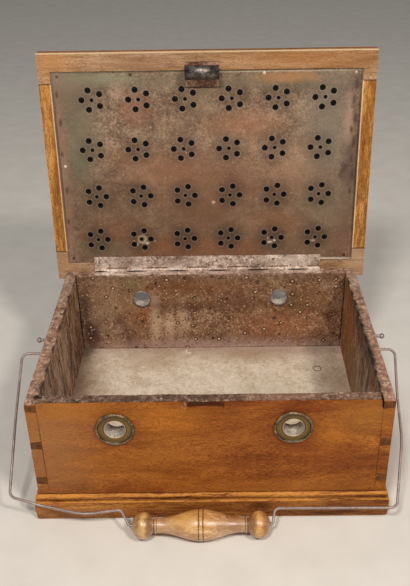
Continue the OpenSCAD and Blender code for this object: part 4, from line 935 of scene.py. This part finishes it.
BEAD = [
    (ROSETTE_R - 2.1, 1.25), (ROSETTE_R - 1.9, 1.9), (ROSETTE_R - 1.4, 2.2), (ROSETTE_R - 0.8, 2.15),
    (ROSETTE_R - 0.3, 1.7), (ROSETTE_R - 0.05, 1.1), (ROSETTE_R - 0.1, 0.5), (ROSETTE_R - 0.4, 0.02),
]
INSIDE_R = VENT_R + TUBE_T + 0.05
DISH = [
    (INSIDE_R, 0.02), (INSIDE_R, 0.85), (INSIDE_R + 0.4, 0.95), (INSIDE_R + 1.0, 0.8), (INSIDE_R + 2.0, 0.62),
    (INSIDE_R + 3.0, 0.6), (ROSETTE_R - 2.9, 0.65), (ROSETTE_R - 2.4, 0.8),
]
LIP = [
    (VENT_R, 0.9), (VENT_R + 0.02, 1.25), (VENT_R + 0.2, 1.5), (VENT_R + 0.45, 1.5), (VENT_R + TUBE_T, 1.2),
]

for side, vents, turn, face in ((1, FRONT_VENTS, 90.0, -107.25), (-1, REAR_VENTS, -90.0, 107.25)):
    for name, (x, z) in vents.items():
        place = Matrix.Translation((x, face, z)) @ Matrix.Rotation(math.radians(turn), 4, "X")
        place_piece(
            lathe(name + "_spun_rosette", DISH + BEAD, place), vent_brass, "box", [name + "_rosette"]
        )
        low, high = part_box(name + "_tube")
        inner_end = 107.25 + (high[1] if side > 0 else -low[1]) / MM
        tube = LIP + [
            (VENT_R + TUBE_T, 0.3 - inner_end), (VENT_R + 0.4, -inner_end), (VENT_R + 0.15, -inner_end),
            (VENT_R, 0.25 - inner_end),
        ]
        place_piece(lathe(name + "_drawn_tube", tube, place), vent_tin, "box", [name + "_tube"])


# Catch roll: a strip wound into two and a quarter turns, with its loose end on the plate


def wound_line():
    """The strip's line, from its tight inner end to its outer end."""
    line = []
    for k in range(91):
        turns = 2.25 * k / 90.0
        radius = 2.2 + (ROLL_R - 0.35 - 2.2) * k / 90.0
        a = math.radians(-60.0) + 2.0 * math.pi * turns
        line.append((radius * math.cos(a), radius * math.sin(a)))
    return line


roll_place = LID_PLACE @ Matrix.Translation((NOTCH_X, -ROLL_REACH, ROLL_Z))
place_piece(
    strip("catch_wound_strip", wound_line(), ROLL_W, 0.7, roll_place), spring_steel, "lid", ["catch_roll"]
)


# Grip


def grip_line():
    """The turned outline as (radius, distance from the left end), with its bore."""
    half = []
    for k in range(29):
        a = math.radians(14.0 + 132.0 * k / 28.0)
        half.append((GRIP_BALL_R * math.sin(a), 9.3 * (1.0 - math.cos(a))))
    half += [
        (GRIP_NECK_R - 0.5, 18.1), (GRIP_NECK_R - 0.5, 18.7), (GRIP_NECK_R + 0.3, 18.9), (GRIP_NECK_R + 0.6, 19.3),
        (GRIP_NECK_R + 0.65, 19.9), (GRIP_NECK_R + 0.3, 20.4), (GRIP_NECK_R - 0.1, 20.6), (GRIP_NECK_R + 0.05, 21.2),
    ]
    middle = GRIP_L / 2.0
    for k in range(49):
        at = 23.0 + (middle - 2.2 - 23.0) * k / 48.0
        swell = (1.0 - math.cos(math.pi * (at - 23.0) / (middle - 23.0))) / 2.0
        half.append((GRIP_NECK_R + (GRIP_MID_R - GRIP_NECK_R) * swell, at))
    half += [(GRIP_MID_R - 0.5, middle - 2.0), (GRIP_MID_R - 0.5, middle - 1.85), (GRIP_MID_R - 0.02, middle - 1.65)]
    whole = half + [(r, GRIP_L - at) for r, at in reversed(half)]
    return whole + [(GRIP_BORE_R, whole[-1][1] - 0.3), (GRIP_BORE_R, whole[0][1] + 0.3)]


grip_place = BAIL_PLACE @ Matrix.Translation((GRIP_LEFT, -GRIP_REACH, 0.0)) @ Matrix.Rotation(math.radians(90), 4, "Y")
place_piece(lathe("turned_grip", grip_line(), grip_place, 128), grip_wood, "grip", ["grip"])
place_piece(keep_mesh("bent_wire", node_shape("bail_wire"), 45.0), wire_iron, "bail", ["bail_wire"])


# Nodes whose solids are right as they are

for node, material in (
    ("bottom_board", under_wood), ("raised_floor", under_wood), ("liner_tacks", nail_iron),
    ("hinge_box_nails", nail_iron), ("hinge_pin", nail_iron), ("pivot_plate_left", hinge_iron),
    ("pivot_plate_right", hinge_iron), ("pivot_plate_nails", nail_iron), ("side_stud_left", stud_steel),
    ("side_stud_right", stud_steel), ("lid_plate_tacks", lid_tack_iron), ("hinge_lid_nails", nail_iron),
    ("catch_nails", nail_iron),
):
    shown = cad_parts[node]
    shown.data.materials.clear()
    shown.data.materials.append(material)


# Table and light


def pale_floor():
    """A plain pale floor that reaches past the camera's horizon."""
    shaped = bmesh.new()
    bmesh.ops.create_circle(shaped, cap_ends=True, radius=9000.0, segments=96)
    ground = keep_mesh("pale_floor", shaped, None)
    material, tree, shader = start_material("matt_pale_paint", roughness=0.9, specular=0.2)
    roller = add(tree, NOISE, {"Vector": own_place(tree), "Scale": 0.03, "Detail": 3.0})
    paint = add(tree, RAMP, {"Fac": roller}, stops=[(0.3, "#D6D2CB"), (0.7, "#DEDAD3")])
    tree.links.new(paint, shader.inputs["Base Color"])
    ground.data.materials.append(material)
    ground.location.z = -0.0002


def softbox(name, direction, distance, size, power, colour):
    """A square softbox that looks at the box from the given direction."""
    aim = Vector((0.0, 0.02, 0.12))
    way = Vector(direction).normalized()
    light = bpy.data.lights.new(name, "AREA")
    light.shape = "SQUARE"
    light.size = size
    light.energy = power
    light.color = linear(colour)[:3]
    box = bpy.data.objects.new(name, light)
    box.matrix_world = Matrix.Translation(aim + way * distance) @ way.to_track_quat("Z", "Y").to_matrix().to_4x4()
    bpy.context.scene.collection.objects.link(box)


def set_light():
    """Two softboxes above the front, as the shadows inside the box ask for, and an even surround."""
    sky = bpy.data.worlds.new("studio")
    sky.use_nodes = True
    sky.node_tree.nodes["Background"].inputs["Color"].default_value = linear("#F2F1EF")
    sky.node_tree.nodes["Background"].inputs["Strength"].default_value = 0.25
    bpy.context.scene.world = sky
    softbox("key_right", (0.53, -0.8, 1.0), 1.7, 0.2, 14.0, "#FFF6EA")
    softbox("fill_left", (-0.215, -0.75, 1.0), 1.7, 0.24, 16.0, "#FFFAF4")


pale_floor()
set_light()
bpy.context.scene.view_settings.view_transform = "Standard"
